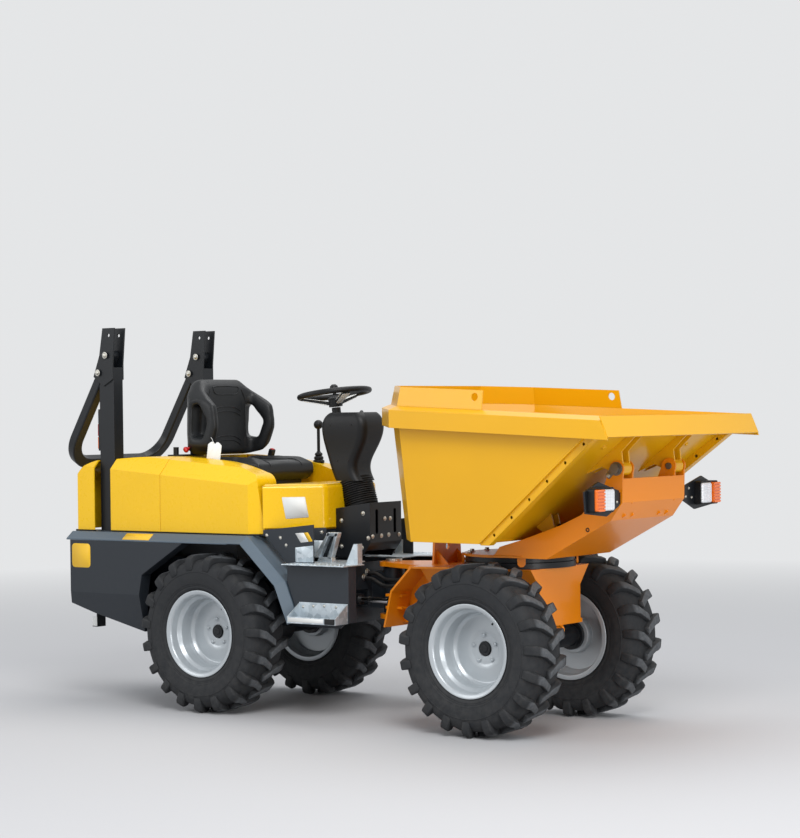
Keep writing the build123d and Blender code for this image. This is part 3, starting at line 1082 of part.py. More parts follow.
def build():
    """Every sub-part by its node's name, in the layout described at the top."""
    tip_barrels, tip_rods = tip_rams()
    steer_barrel, steer_rod = steer_ram()
    parts = {
        "rear_frame": rear_frame(), "rear_body": rear_body(), "fenders": both_sides(fender()),
        "side_boxes": [p for s in side_box() for p in both_sides(s)],
        "deck_plates": both_sides(deck_plate()), "steps": both_sides(step()),
        "tow_bracket": tow_bracket(), "rear_lamps": rear_lamps(), "engine": engine(), "rear_axle": axle(0.0),
        "bonnet": bonnet(), "pedestal": pedestal(), "posts": posts(), "hoop": hoop(),
        "seat_base": seat_base(), "seat_cushion": seat_cushion(), "seat_back": seat_back(),
        "console": console(), "column_base": column_base(), "column_bellows": column_bellows(),
        "column_cowl": column_cowl(), "steering_wheel": steering_wheel(), "drive_lever": drive_lever(),
        "front_frame": front_frame(), "front_axle": axle(WHEELBASE), "pivot_pin": pivot_pin(),
        "skip_rest": skip_rest(), "ring_lower": ring_lower(), "ring_upper": ring_upper(),
        "turntable": turntable(), "carrier": carrier(), "hinge_pins": hinge_pins(),
        "lamp_brackets": both_sides(lamp_bracket()), "lamp_housings": both_sides(lamp_housing()),
        "indicators": both_sides(indicator()), "lamps": both_sides(work_lamp()),
        "skip_tub": skip_tub(), "skip_rim": skip_rim(), "skip_boards": skip_boards(), "skip_ribs": skip_ribs(),
        "tip_barrels": tip_barrels, "tip_rods": tip_rods,
        "steer_barrel": steer_barrel, "steer_rod": steer_rod,
    }
    tread, wheel = tyre(), rim()
    for end, x in (("rear", 0.0), ("front", WHEELBASE)):
        for hand, sign in (("right", -1), ("left", 1)):
            place = Pos(x, sign * TRACK / 2, AXLE_Z)
            parts[f"tyre_{end}_{hand}"] = place * tread
            parts[f"rim_{end}_{hand}"] = place * (wheel if sign < 0 else mirror(wheel, about=Plane.XZ))
    return parts


def as_one(shape):
    """A compound of a node's separate solids, or the solid itself."""
    solids = []
    for item in shape if isinstance(shape, list) else [shape]:
        solids += item.solids()
    return solids[0] if len(solids) == 1 else Compound(solids)


MODEL = {name: as_one(shape) for name, shape in build().items()}
ENDS = [bound for shape in MODEL.values() for bound in (shape.bounding_box().min.X, shape.bounding_box().max.X)]
SHIFT_X = -(min(ENDS) + max(ENDS)) / 2      # puts the origin below the middle of the length
SHIFT_Z = TYRE_RADIUS - AXLE_Z              # stands the tyres on the ground

os.makedirs("parts", exist_ok=True)
for name, shape in MODEL.items():
    export_step(as_one([Pos(SHIFT_X, 0, SHIFT_Z) * solid for solid in shape.solids()]), f"parts/{name}.step")
print("shift along X:", round(SHIFT_X, 3))
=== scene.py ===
import bpy
import bmesh
import json
from math import cos, hypot, pi, radians, sin
from mathutils import Matrix, Vector


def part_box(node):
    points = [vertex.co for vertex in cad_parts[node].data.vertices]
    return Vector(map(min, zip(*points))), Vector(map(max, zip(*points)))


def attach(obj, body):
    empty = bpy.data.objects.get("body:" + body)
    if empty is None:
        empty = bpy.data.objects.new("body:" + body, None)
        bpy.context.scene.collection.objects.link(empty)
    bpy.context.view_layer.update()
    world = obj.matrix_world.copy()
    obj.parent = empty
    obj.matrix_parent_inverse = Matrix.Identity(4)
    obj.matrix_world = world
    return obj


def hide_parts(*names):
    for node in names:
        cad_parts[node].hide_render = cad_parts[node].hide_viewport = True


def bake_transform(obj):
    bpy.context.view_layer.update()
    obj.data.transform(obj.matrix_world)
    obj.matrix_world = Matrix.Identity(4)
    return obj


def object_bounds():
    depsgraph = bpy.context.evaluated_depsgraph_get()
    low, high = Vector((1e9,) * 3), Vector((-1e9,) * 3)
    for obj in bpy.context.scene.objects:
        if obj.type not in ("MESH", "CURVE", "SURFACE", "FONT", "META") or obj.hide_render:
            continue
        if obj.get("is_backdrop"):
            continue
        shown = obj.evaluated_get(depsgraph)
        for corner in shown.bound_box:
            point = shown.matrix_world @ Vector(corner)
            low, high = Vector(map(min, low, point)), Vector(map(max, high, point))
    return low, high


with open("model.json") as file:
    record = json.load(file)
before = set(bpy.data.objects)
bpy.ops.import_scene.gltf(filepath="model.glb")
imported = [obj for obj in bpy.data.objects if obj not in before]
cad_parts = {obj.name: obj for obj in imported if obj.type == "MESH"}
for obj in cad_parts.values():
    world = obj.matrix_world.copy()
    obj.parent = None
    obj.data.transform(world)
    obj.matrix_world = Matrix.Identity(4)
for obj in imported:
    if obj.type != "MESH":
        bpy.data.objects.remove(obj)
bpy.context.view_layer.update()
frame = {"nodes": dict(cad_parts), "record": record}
scene, nodes = bpy.context.scene, frame["nodes"]
print("frame loaded:", len(nodes), "nodes")

# the rear axle's x, which the layout starts from
rearX = sum(v.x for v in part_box("tyre_rear_right")) / 2
hands = ((-1, "Right"), (1, "Left"))
wheels = [(end, hand.lower(), side) for end in ("front", "rear") for side, hand in hands]


# ---- shader helpers

def feed(tree, socket, value):
    # a socket's value is linked, and any other value is written
    if isinstance(value, bpy.types.NodeSocket):
        tree.links.new(value, socket)
    else:
        socket.default_value = value


def addNode(tree, kind, inputs=None, **settings):
    made = tree.nodes.new(kind)
    for name, value in settings.items():
        setattr(made, name, value)
    for name, value in (inputs or {}).items():
        feed(tree, made.inputs[name], value)
    return made


def output(tree, kind, inputs=None, out=0, **settings):
    # adds a node and gives one of its outputs
    return addNode(tree, kind, inputs, **settings).outputs[out]


def shade(tree, kind, inputs=None, out=0, **settings):
    return output(tree, "ShaderNode" + kind, inputs, out, **settings)


def geometry(tree, kind, inputs=None, out=0, **settings):
    return output(tree, "GeometryNode" + kind, inputs, out, **settings)


def mathNode(tree, operation, a, b, clamp=False):
    return shade(tree, "Math", {0: a, 1: b}, operation=operation, use_clamp=clamp)


def mixColor(tree, factor, a, b):
    return shade(tree, "Mix", {0: factor, 6: a, 7: b}, 2, data_type="RGBA")


def ramp(tree, value, low, high):
    return shade(tree, "MapRange", {"Value": value, "From Min": low, "From Max": high}, "Result", clamp=True)


def noise(tree, vector, scale, detail, roughness=0.5):
    inputs = {"Vector": vector, "Scale": scale, "Detail": detail, "Roughness": roughness}
    return shade(tree, "TexNoise", inputs, "Fac")


def objectPlace(tree):
    return shade(tree, "TexCoord", out="Object")


def srgb(r, g, b):
    # an 8-bit display colour as the linear colour that shaders take
    shares = (value / 255 for value in (r, g, b))
    return tuple(c / 12.92 if c <= 0.04045 else ((c + 0.055) / 1.055) ** 2.4 for c in shares) + (1.0,)


def bareMaterial(name, **shader):
    made = bpy.data.materials.new(name)
    made.use_nodes = True
    principled = made.node_tree.nodes["Principled BSDF"]
    for label, value in shader.items():
        principled.inputs[label.replace("_", " ")].default_value = value
    return made, made.node_tree, principled


paintLook = {"edgeRadius": 0.003, "bump": 0.04, "bumpDepth": 0.0004, "coatRoughness": 0.08, "gloss": 0.3,
             "mottle": 2.3, "grit": 34.0, "chips": 95.0, "peel": 620.0,   # the noises' scales
             "worn": (0.25, 0.24, 0.22, 1), "dust": (0.42, 0.4, 0.37, 1)}


def paintMaterial(name, color, roughness, coat, dusting=0.2, wear=0.25, metallic=0.0):
    # orange peel, slight mottling, worn edges, and thin dust on what faces up and near the ground
    look = paintLook
    made, tree, principled = bareMaterial(name, Coat_Weight=coat, Coat_Roughness=look["coatRoughness"],
                                          Metallic=metallic, Specular_IOR_Level=look["gloss"])

    def times(a, b, clamp=False):
        return mathNode(tree, "MULTIPLY", a, b, clamp)

    def plus(a, b, clamp=False):
        return mathNode(tree, "ADD", a, b, clamp)

    def minus(a, b):
        return mathNode(tree, "SUBTRACT", a, b)

    place, normal = objectPlace(tree), shade(tree, "NewGeometry", out="Normal")
    upward = shade(tree, "SeparateXYZ", {0: normal}, "Z")
    height = shade(tree, "SeparateXYZ", {0: place}, "Z")
    broad, fine = noise(tree, place, look["mottle"], 3.0), noise(tree, place, look["grit"], 6.0, 0.65)
    chips, peel = noise(tree, place, look["chips"], 3.0, 0.7), noise(tree, place, look["peel"], 1.0)
    tint = plus(times(broad, 0.1), 0.95)
    hue = shade(tree, "HueSaturation", {"Value": tint, "Color": srgb(*color)}, "Color")
    # sheet edges are rounded in the shading, and lose paint where the chips' noise is high
    bevel = shade(tree, "Bevel", {"Radius": look["edgeRadius"]}, samples=6)
    turn = shade(tree, "VectorMath", {0: bevel, 1: normal}, "Value", operation="DOT_PRODUCT")
    edge = ramp(tree, minus(1.0, turn), 0.01, 0.25)
    worn = times(ramp(tree, chips, 0.5, 0.62), times(edge, wear), True)
    base = mixColor(tree, worn, hue, look["worn"])
    # dust settles on level faces and rises a little from the ground
    settle = plus(times(ramp(tree, upward, 0.35, 1.0), 0.55), times(ramp(tree, minus(0.9, height), 0.0, 0.75), 0.45))
    dust = times(times(settle, ramp(tree, fine, 0.32, 0.72)), dusting, True)
    rough = plus(plus(roughness, times(minus(fine, 0.5), 0.1)), times(dust, 0.5), True)
    lift = shade(tree, "Bump", {"Strength": look["bump"], "Distance": look["bumpDepth"], "Normal": bevel,
                                "Height": plus(times(peel, 0.5), times(fine, 0.5))}, "Normal")
    shown = mixColor(tree, dust, base, look["dust"])
    for label, value in (("Base Color", shown), ("Roughness", rough), ("Normal", lift)):
        feed(tree, principled.inputs[label], value)
    return made


paints = {   # slot: name, colour, roughness, coat, dusting, wear, metallic
    "bonnet_yellow": ("bonnetYellow", (240, 190, 8), 0.28, 0.35, 0.03),
    "skip_yellow": ("skipYellow", (224, 166, 10), 0.32, 0.25, 0.03),
    "frame_orange": ("frameOrange", (232, 134, 4), 0.34, 0.2, 0.04),
    "chassis_dark": ("chassisGrey", (38, 43, 49), 0.4, 0.06, 0.04),
    "black_metal": ("blackPaint", (20, 23, 27), 0.4, 0.08, 0.04),
    "galvanised": ("galvanised", (190, 200, 205), 0.4, 0.0, 0.1, 0.25, 0.7),
    "engine_block": ("engineGrey", (90, 92, 95), 0.5, 0.0, 0.2, 0.25, 0.4),
    "seat_vinyl": ("seatVinyl", (25, 27, 29), 0.42, 0.05, 0.02, 0.0),
    "black_plastic": ("blackPlastic", (18, 19, 21), 0.45, 0.0, 0.03, 0.0),
    "bellows_rubber": ("bellowsRubber", (18, 19, 21), 0.6, 0.0, 0.2, 0.0),
    "zinc_steel": ("zincSteel", (190, 188, 180), 0.35, 0.0, 0.2, 0.25, 0.9),
    "chrome_rod": ("chromeRod", (220, 220, 222), 0.12, 0.0, 0.0, 0.25, 1.0),
    "lamp_white": ("lampWhite", (225, 228, 232), 0.15, 0.6, 0.0),
    "lamp_amber": ("lampAmber", (236, 112, 28), 0.14, 0.7, 0.0, 0.0),
    "lamp_red": ("lampRed", (170, 22, 20), 0.14, 0.7, 0.0, 0.0),
    "tyre_rubber": ("tyreRubber", (33, 35, 38), 0.7, 0.0, 0.12, 0.0),
    "rim_silver": ("rimSilver", (180, 186, 190), 0.32, 0.2, 0.06, 0.25, 0.35),
}
finishes = {slot: paintMaterial(*row) for slot, row in paints.items()}
slotOf = {row["node"]: row["material_slot"] for row in frame["record"]["subparts"]}
for name, piece in nodes.items():
    piece.data.materials.clear()
    piece.data.materials.append(finishes[slotOf[name]])
print("finishes set")


# ---- places, forms and pieces; a form is its vertices and its faces

def at(x, y, z):
    # millimetres from the rear axle, the machine's middle and the ground, as a point in the frame
    return Vector((x / 1000 + rearX, y / 1000, z / 1000))


def placed(name, data):
    made = bpy.data.objects.new(name, data)
    scene.collection.objects.link(made)
    return made


def dressPiece(name, data, material, body="chassis", slotName=None, sharp=35):
    # a finish may be given by its slot's name
    if isinstance(material, str):
        material, slotName = finishes[material], material
    made = placed(name, data)
    data.materials.clear()
    data.materials.append(material)
    if sharp:
        data.shade_smooth()
        data.set_sharp_from_angle(angle=radians(sharp))
    if body:
        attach(made, body)
    return made


def meshPiece(name, form, material, body="chassis", slotName=None, sharp=35):
    data = bpy.data.meshes.new(name)
    data.from_pydata([tuple(v) for v in form[0]], [], form[1])
    shape = bmesh.new()
    shape.from_mesh(data)
    bmesh.ops.remove_doubles(shape, verts=shape.verts, dist=1e-6)
    bmesh.ops.recalc_face_normals(shape, faces=shape.faces)
    shape.to_mesh(data)
    shape.free()
    return dressPiece(name, data, material, body, slotName, sharp)


def roundProfile(points, radius, steps=4):
    # an outline with its corners turned into short arcs
    done, count = [], len(points)
    for i in range(count):
        here, before, after = Vector(points[i]), Vector(points[i - 1]), Vector(points[(i + 1) % count])
        reach = min(radius, (before - here).length * 0.45, (after - here).length * 0.45)
        a, b = here + (before - here).normalized() * reach, here + (after - here).normalized() * reach
        for t in (k / steps for k in range(steps + 1)):
            done.append(tuple(a * (1 - t) ** 2 + here * 2 * t * (1 - t) + b * t ** 2))
    return done


def band(first, second, count):
    # the faces between two closed rings of points
    return [(first + k, first + (k + 1) % count, second + (k + 1) % count, second + k) for k in range(count)]


def lathe(profile, steps):
    # a closed section of (radius, along) points turned about Y
    verts, faces, count = [], [], len(profile)
    for i in range(steps):
        angle = 2 * pi * i / steps
        verts += [(r * cos(angle), y, r * sin(angle)) for r, y in profile]
        faces += band(i * count, (i + 1) % steps * count, count)
    return verts, faces


def turned(profile, steps):
    # an open line of (radius, height) points turned about Z
    verts, faces, count = [], [], len(profile)
    for i in range(steps):
        angle, j = 2 * pi * i / steps, (i + 1) % steps
        verts += [(r * cos(angle), r * sin(angle), z) for r, z in profile]
        faces += [(i * count + k, j * count + k, j * count + k + 1, i * count + k + 1) for k in range(count - 1)]
    return verts, faces


def moved(form, place):
    # by a matrix, or just to a point
    matrix = Matrix.Translation(place) if isinstance(place, Vector) else place
    return [matrix @ Vector(v) for v in form[0]], form[1]


def joined(forms):
    verts, faces = [], []
    for v, f in forms:
        faces += [tuple(index + len(verts) for index in face) for face in f]
        verts += list(v)
    return verts, faces


def takeForm(shape):
    shape.verts.index_update()
    form = [v.co.copy() for v in shape.verts], [tuple(v.index for v in face.verts) for face in shape.faces]
    shape.free()
    return form


def softBox(size, radius, segments=2):
    # a box about the origin with rounded edges
    shape = bmesh.new()
    bmesh.ops.create_cube(shape, size=1.0)
    bmesh.ops.scale(shape, vec=Vector(size), verts=shape.verts)
    bmesh.ops.bevel(shape, geom=list(shape.edges), offset=radius, segments=segments, profile=0.6, affect="EDGES")
    return takeForm(shape)


def softPlate(outline, thickness, corner=0.004, edge=0.0008):
    # an outline in XY, thickened along Z from 0, with round corners and a broken edge
    shape = bmesh.new()
    face = shape.faces.new([shape.verts.new((x, y, 0)) for x, y in roundProfile(outline, corner)])
    made = bmesh.ops.extrude_face_region(shape, geom=[face])
    top = [v for v in made["geom"] if isinstance(v, bmesh.types.BMVert)]
    bmesh.ops.translate(shape, vec=(0, 0, thickness), verts=top)
    bmesh.ops.recalc_face_normals(shape, faces=shape.faces)
    rim = [e for e in shape.edges if all(abs(v.co.z - thickness) < 1e-7 for v in e.verts)]
    bmesh.ops.bevel(shape, geom=rim, offset=edge, segments=2, profile=0.6, affect="EDGES")
    return takeForm(shape)


def rotated(degrees, axis):
    return Matrix.Rotation(radians(degrees), 4, axis)


def facing(place, normal, upward=(0, 0, 1)):
    # a frame at place whose Z is the normal and whose Y leans upward
    z = Vector(normal).normalized()
    x = Vector(upward).cross(z)
    x = x.normalized() if x.length > 1e-6 else Vector((1, 0, 0))
    return Matrix.Translation(place) @ Matrix((x, z.cross(x), z)).transposed().to_4x4()


# ---- geometry node trees

def nodeTree(name, *inputs):
    # an input is a label and a kind; every tree also takes a geometry and a material
    tree = bpy.data.node_groups.new(name, "GeometryNodeTree")
    for label, kind in (("Geometry", "Geometry"), *inputs, ("Material", "Material")):
        tree.interface.new_socket(label, in_out="INPUT", socket_type="NodeSocket" + kind)
    tree.interface.new_socket("Geometry", in_out="OUTPUT", socket_type="NodeSocketGeometry")
    return tree, tree.nodes.new("NodeGroupInput").outputs


def closeTree(tree, given, made):
    real = geometry(tree, "RealizeInstances", {0: made})
    painted = geometry(tree, "SetMaterial", {"Geometry": real, "Material": given["Material"]})
    addNode(tree, "NodeGroupOutput", {0: painted})
    return tree


def makeStudTree():
    # one copy of a fastener on every point, its Z along the point's aim
    tree, given = nodeTree("studs", ("Fastener", "Object"))
    aim = geometry(tree, "InputNamedAttribute", {"Name": "aim"}, data_type="FLOAT_VECTOR")
    size = geometry(tree, "InputNamedAttribute", {"Name": "size"}, data_type="FLOAT")
    turn = output(tree, "FunctionNodeAlignRotationToVector", {"Vector": aim}, axis="Z")
    fastener = geometry(tree, "ObjectInfo", {"Object": given["Fastener"]}, "Geometry")
    return closeTree(tree, given, geometry(tree, "InstanceOnPoints", {
        "Points": given["Geometry"], "Instance": fastener, "Rotation": turn, "Scale": size}))


def makeLugTree():
    # lugs round the wheel in two mirrored rows, the second half a pitch on
    tree, given = nodeTree("lugRows", ("Lug", "Object"), ("Count", "Int"))
    points = geometry(tree, "Points", {"Count": given["Count"]})
    index = geometry(tree, "InputIndex")
    lug = geometry(tree, "ObjectInfo", {"Object": given["Lug"]}, "Geometry")
    rows = []
    for shift, mirror in ((0.0, 1.0), (0.5, -1.0)):
        angle = mathNode(tree, "MULTIPLY", mathNode(tree, "ADD", index, shift), 2 * pi)
        turn = shade(tree, "CombineXYZ", {"Y": mathNode(tree, "DIVIDE", angle, given["Count"])})
        rows.append(geometry(tree, "InstanceOnPoints", {
            "Points": points, "Instance": lug, "Rotation": turn, "Scale": (1.0, mirror, 1.0)}))
    real = geometry(tree, "RealizeInstances", {0: rows[1]})
    rows[1] = geometry(tree, "FlipFaces", {0: real})
    join = addNode(tree, "GeometryNodeJoinGeometry")
    for row in rows + [given["Geometry"]]:
        tree.links.new(row, join.inputs[0])
    return closeTree(tree, given, join.outputs[0])


def evenCurve(tree, given, kind):
    # the input's edges as curves, cut into even steps
    curve = geometry(tree, "MeshToCurve", {0: given["Geometry"]})
    return geometry(tree, kind, {"Curve": curve, "Length": given["Step"]}, mode="LENGTH")


def makeTubeTree():
    # a round tube along the input's edges
    tree, given = nodeTree("tubes", ("Radius", "Float"), ("Sides", "Int"), ("Step", "Float"))
    even = evenCurve(tree, given, "ResampleCurve")
    ring = geometry(tree, "CurvePrimitiveCircle", {"Radius": given["Radius"], "Resolution": given["Sides"]})
    sweep = geometry(tree, "CurveToMesh", {"Curve": even, "Profile Curve": ring, "Fill Caps": True})
    return closeTree(tree, given, geometry(tree, "SetShadeSmooth", {0: sweep}))


def makeBeadTree():
    # a weld bead: overlapping drops along the input's edges
    tree, given = nodeTree("weldBeads", ("Radius", "Float"), ("Step", "Float"), ("Seed", "Int"))
    even = evenCurve(tree, given, "CurveToPoints")
    drop = geometry(tree, "MeshUVSphere", {"Segments": 8, "Rings": 5, "Radius": given["Radius"]})
    vary = output(tree, "FunctionNodeRandomValue", {2: 0.85, 3: 1.15, "Seed": given["Seed"]}, 1, data_type="FLOAT")
    smooth = geometry(tree, "SetShadeSmooth", {0: drop})
    return closeTree(tree, given, geometry(tree, "InstanceOnPoints", {
        "Points": even, "Instance": smooth, "Scale": vary}))


trees = {"studs": makeStudTree(), "lugRows": makeLugTree(), "tubes": makeTubeTree(), "weldBeads": makeBeadTree()}


def evaluatedMesh(source):
    bpy.context.view_layer.update()
    return bpy.data.meshes.new_from_object(source.evaluated_get(bpy.context.evaluated_depsgraph_get()))


def grown(name, source, tree, values, material, body="chassis", slotName=None, sharp=35):
    # runs a node tree on a scratch object and keeps the result as a plain mesh
    values["Material"] = finishes[material] if isinstance(material, str) else material
    modifier = source.modifiers.new("grow", "NODES")
    modifier.node_group = trees[tree]
    for item in trees[tree].interface.items_tree:
        if item.name in values:
            modifier[item.identifier] = values[item.name]
    source.update_tag()
    data = evaluatedMesh(source)
    bpy.data.objects.remove(source)
    data.name = name
    return dressPiece(name, data, material, body, slotName, sharp)


def scratch(name, verts, faces=(), edges=()):
    data = bpy.data.meshes.new(name)
    data.from_pydata([tuple(v) for v in verts], list(edges), list(faces))
    return placed(name, data)


def scratchPaths(name, paths):
    verts, edges = [], []
    for path in paths:
        edges += [(len(verts) + i, len(verts) + i + 1) for i in range(len(path) - 1)]
        verts += path
    return scratch(name + "Path", verts, edges=edges)


def smoothPath(points, steps=8):
    # a Catmull-Rom curve through the points
    done, last = [], len(points) - 1
    for i in range(last):
        p0, p1, p2, p3 = (Vector(points[min(max(k, 0), last)]) for k in (i - 1, i, i + 1, i + 2))
        for t in (k / steps for k in range(steps)):
            done.append(0.5 * ((2 * p1) + (p2 - p0) * t + (2 * p0 - 5 * p1 + 4 * p2 - p3) * t ** 2
                               + (3 * p1 - p0 - 3 * p2 + p3) * t ** 3))
    return done + [Vector(points[-1])]


def tubePiece(name, paths, radius, material, body="chassis", slotName=None, sides=14, step=0.008):
    return grown(name, scratchPaths(name, paths), "tubes",
                 {"Radius": radius, "Sides": sides, "Step": step}, material, body, slotName, sharp=40)


# washers, heads and grommets, one unit across
fasteners = {
    "dome": turned([(0, 0.0), (0.5, 0.0), (0.5, 0.05), (0.48, 0.07), (0.34, 0.07), (0.33, 0.2), (0.29, 0.27),
                    (0.2, 0.32), (0.0, 0.345)], 24),
    "hex": joined([turned([(0, 0.0), (0.5, 0.0), (0.5, 0.06), (0.47, 0.09), (0.0, 0.09)], 24),
                   turned([(0, 0.08), (0.36, 0.08), (0.385, 0.11), (0.385, 0.33), (0.34, 0.38), (0.0, 0.38)], 6)]),
    "eyelet": turned([(0, 0.01), (0.24, 0.01), (0.27, 0.12), (0.36, 0.16), (0.47, 0.1), (0.5, 0.0)], 20),
    "dimple": turned([(0, 0.22), (0.18, 0.2), (0.34, 0.12), (0.5, 0.0)], 10),
}


def studPiece(name, kind, places, material, body="chassis"):
    # places: (point, aim, size across the washer in metres)
    fastener = scratch(name + "Form", *fasteners[kind])
    source = scratch(name + "Places", [row[0] for row in places])
    for label, kindOf, field, values in (("aim", "FLOAT_VECTOR", "vector", [c for row in places for c in row[1]]),
                                         ("size", "FLOAT", "value", [row[2] for row in places])):
        source.data.attributes.new(label, kindOf, "POINT").data.foreach_set(field, values)
    grown(name, source, "studs", {"Fastener": fastener}, material, body, sharp=32)
    bpy.data.objects.remove(fastener)


print("helpers ready")

# ---- tyres
tyreSettings = {"lugs": 19, "steps": 152, "rollRadius": 0.375, "wearStart": 0.3815, "wearDepth": 0.0045}
# along the rolling direction, (radius, across) of the lug's top and of its foot, and its half width
lugStations = [
    (-0.001, (0.3872, -0.0115), (0.36, -0.0125), 0.015),
    (0.000, (0.3875, -0.009), (0.361, -0.01), 0.0158),
    (0.018, (0.3875, 0.02), (0.361, 0.02), 0.0168),
    (0.038, (0.3873, 0.054), (0.361, 0.054), 0.0186),
    (0.046, (0.3866, 0.086), (0.358, 0.084), 0.0198),
    (0.052, (0.3815, 0.106), (0.352, 0.1), 0.0203),
    (0.054, (0.3735, 0.1205), (0.346, 0.109), 0.0205),
    (0.055, (0.36, 0.128), (0.338, 0.116), 0.0204),
    (0.0555, (0.34, 0.13), (0.325, 0.123), 0.02),
    (0.0555, (0.324, 0.13), (0.315, 0.1255), 0.019),
    (0.0555, (0.313, 0.128), (0.31, 0.1262), 0.0165),
]


def lugForm():
    verts, faces = [], []
    for along, (topR, topY), (footR, footY), wide in lugStations:
        # up one flank and down the other
        flank = [(0.0, wide + 0.0045), (0.8, wide + 0.0008), (0.95, wide - 0.0012), (1.0, wide - 0.0042)]
        for s, t in [(-w, t) for t, w in flank] + [(w, t) for t, w in reversed(flank)]:
            r, angle = footR + (topR - footR) * t, (along + s) / tyreSettings["rollRadius"]
            verts.append((r * sin(angle), footY + (topY - footY) * t, -r * cos(angle)))
    steps = len(verts) // len(lugStations)
    last = len(verts) - steps
    for first in range(0, last, steps):
        faces += band(first, first + steps, steps)
    faces += [tuple(range(steps)), tuple(range(last + steps - 1, last - 1, -1))]
    shape = bmesh.new()
    built = [shape.verts.new(v) for v in verts]
    for face in faces:
        shape.faces.new([built[k] for k in face])
    bmesh.ops.recalc_face_normals(shape, faces=shape.faces)
    return takeForm(shape)


# radius, across: bead, rim guard, bulging side with fine ribs, shoulder, tread
sideWall = [(0.198, 0.104), (0.212, 0.1085), (0.219, 0.113), (0.224, 0.118), (0.229, 0.1195), (0.233, 0.118),
            (0.236, 0.1195), (0.2362, 0.1208), (0.2385, 0.1208), (0.2387, 0.12), (0.246, 0.1232), (0.2462, 0.1242),
            (0.248, 0.1242), (0.2482, 0.1236), (0.262, 0.1268), (0.28, 0.1284), (0.3, 0.1275), (0.3002, 0.1288),
            (0.3028, 0.1288), (0.303, 0.127), (0.318, 0.1245), (0.334, 0.118), (0.346, 0.1085), (0.355, 0.095),
            (0.36, 0.08), (0.3628, 0.05), (0.3635, 0.018)]
inside = [(0.204, -0.096), (0.34, -0.088), (0.348, 0.0), (0.34, 0.088), (0.204, 0.096)]
carcass = lathe(sideWall + [(r, -y) for r, y in reversed(sideWall)] + inside, tyreSettings["steps"])
lugObject = scratch("lugForm", *lugForm())
for end, hand, side in wheels:
    node, body = f"tyre_{end}_{hand}", f"wheel_{end}_{hand}"
    low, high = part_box(node)
    tyre = grown(f"tyre{end.title()}{hand.title()}", scratch("tyreScratch", *carcass), "lugRows",
                 {"Lug": lugObject, "Count": tyreSettings["lugs"]}, finishes["tyre_rubber"], None, sharp=38)
    reach = [hypot(v.co.x, v.co.z) - tyreSettings["wearStart"] for v in tyre.data.vertices]
    wear = tyre.data.attributes.new("lugWear", "FLOAT", "POINT")
    wear.data.foreach_set("value", [min(max(r / tyreSettings["wearDepth"], 0.0), 1.0) for r in reach])
    tyre.data.transform(Matrix.Translation((low + high) / 2))
    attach(tyre, body)
    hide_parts(node)
bpy.data.objects.remove(lugObject)
print("tyres made")

# ---- rims
rimSettings = {"nuts": 5, "firstNut": 0.3, "nutCircle": 0.062, "nutSize": 0.027, "steps": 96,
               "rounding": 0.0035, "face": 0.0285, "valveAngle": 52, "valveRadius": 0.0042}
# (radius, along) of the wheel's section, the dished side towards -Y
rimSection = [(0.212, -0.115), (0.212, -0.1105), (0.1965, -0.107), (0.1925, -0.103), (0.1905, -0.072),
              (0.1745, -0.054), (0.174, 0.054), (0.19, 0.072), (0.1925, 0.103), (0.1965, 0.107), (0.212, 0.1105),
              (0.212, 0.116), (0.189, 0.116), (0.186, 0.074), (0.169, 0.056), (0.169, 0.0375), (0.088, 0.037),
              (0.087, 0.074), (0.033, 0.074), (0.033, 0.028), (0.07, 0.028), (0.078, 0.025), (0.09, 0.0235),
              (0.13, 0.025), (0.152, 0.026), (0.16, 0.018), (0.1655, 0.012), (0.169, -0.006), (0.169, -0.05),
              (0.185, -0.068), (0.188, -0.102), (0.193, -0.11), (0.206, -0.115)]
hubSection = [(0.0, 0.01), (0.017, 0.01), (0.021, 0.003), (0.0318, 0.0015), (0.0318, -0.006), (0.0, -0.006)]
rimForm = lathe(roundProfile(rimSection, rimSettings["rounding"], 3), rimSettings["steps"])
hubForm = turned(roundProfile(hubSection, 0.0015, 2), 36)
valveTurn = radians(rimSettings["valveAngle"])
for end, hand, side in wheels:
    node, body, label = f"rim_{end}_{hand}", f"wheel_{end}_{hand}", end.title() + hand.title()
    flip = Matrix.Translation(sum(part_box(node), Vector()) / 2) @ Matrix.Scale(-side, 4, (0, 1, 0))
    rim = meshPiece("rim" + label, moved(rimForm, flip), "rim_silver", body)
    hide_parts(node)
    facePlane = flip @ Vector((0, rimSettings["face"], 0))
    nuts = []
    for angle in (2 * pi * (k + rimSettings["firstNut"]) / rimSettings["nuts"] for k in range(rimSettings["nuts"])):
        spoke = rimSettings["nutCircle"] * Vector((cos(angle), 0, sin(angle)))
        nuts.append((facePlane + spoke, (0, side, 0), rimSettings["nutSize"]))
    studPiece("wheelNuts" + label, "dome", nuts, finishes["rim_silver"], body)
    # black hub end with its cap, and the valve
    meshPiece("hubEnd" + label, moved(hubForm, facing(facePlane, (0, side, 0))), finishes["black_metal"], body)
    foot, tip = (flip @ Vector((r * cos(valveTurn), along, r * sin(valveTurn)))
                 for r, along in ((0.172, -0.03), (0.15, -0.052)))
    tubePiece("valve" + label, [smoothPath([foot, (foot + tip) / 2 + Vector((0, side * 0.003, 0)), tip], 4)],
              rimSettings["valveRadius"], finishes["tyre_rubber"], body, sides=10, step=0.004)
print("rims made")

# ---- seat: the pads are inflated as cloth
seatSettings = {"voxel": 0.006, "pressure": 4.0, "stiffness": 40, "bending": 4, "frames": 20, "largestMove": 0.004,
                "seamRadius": 0.0028, "rounding": {"seat_cushion": 7, "seat_back": 26}}


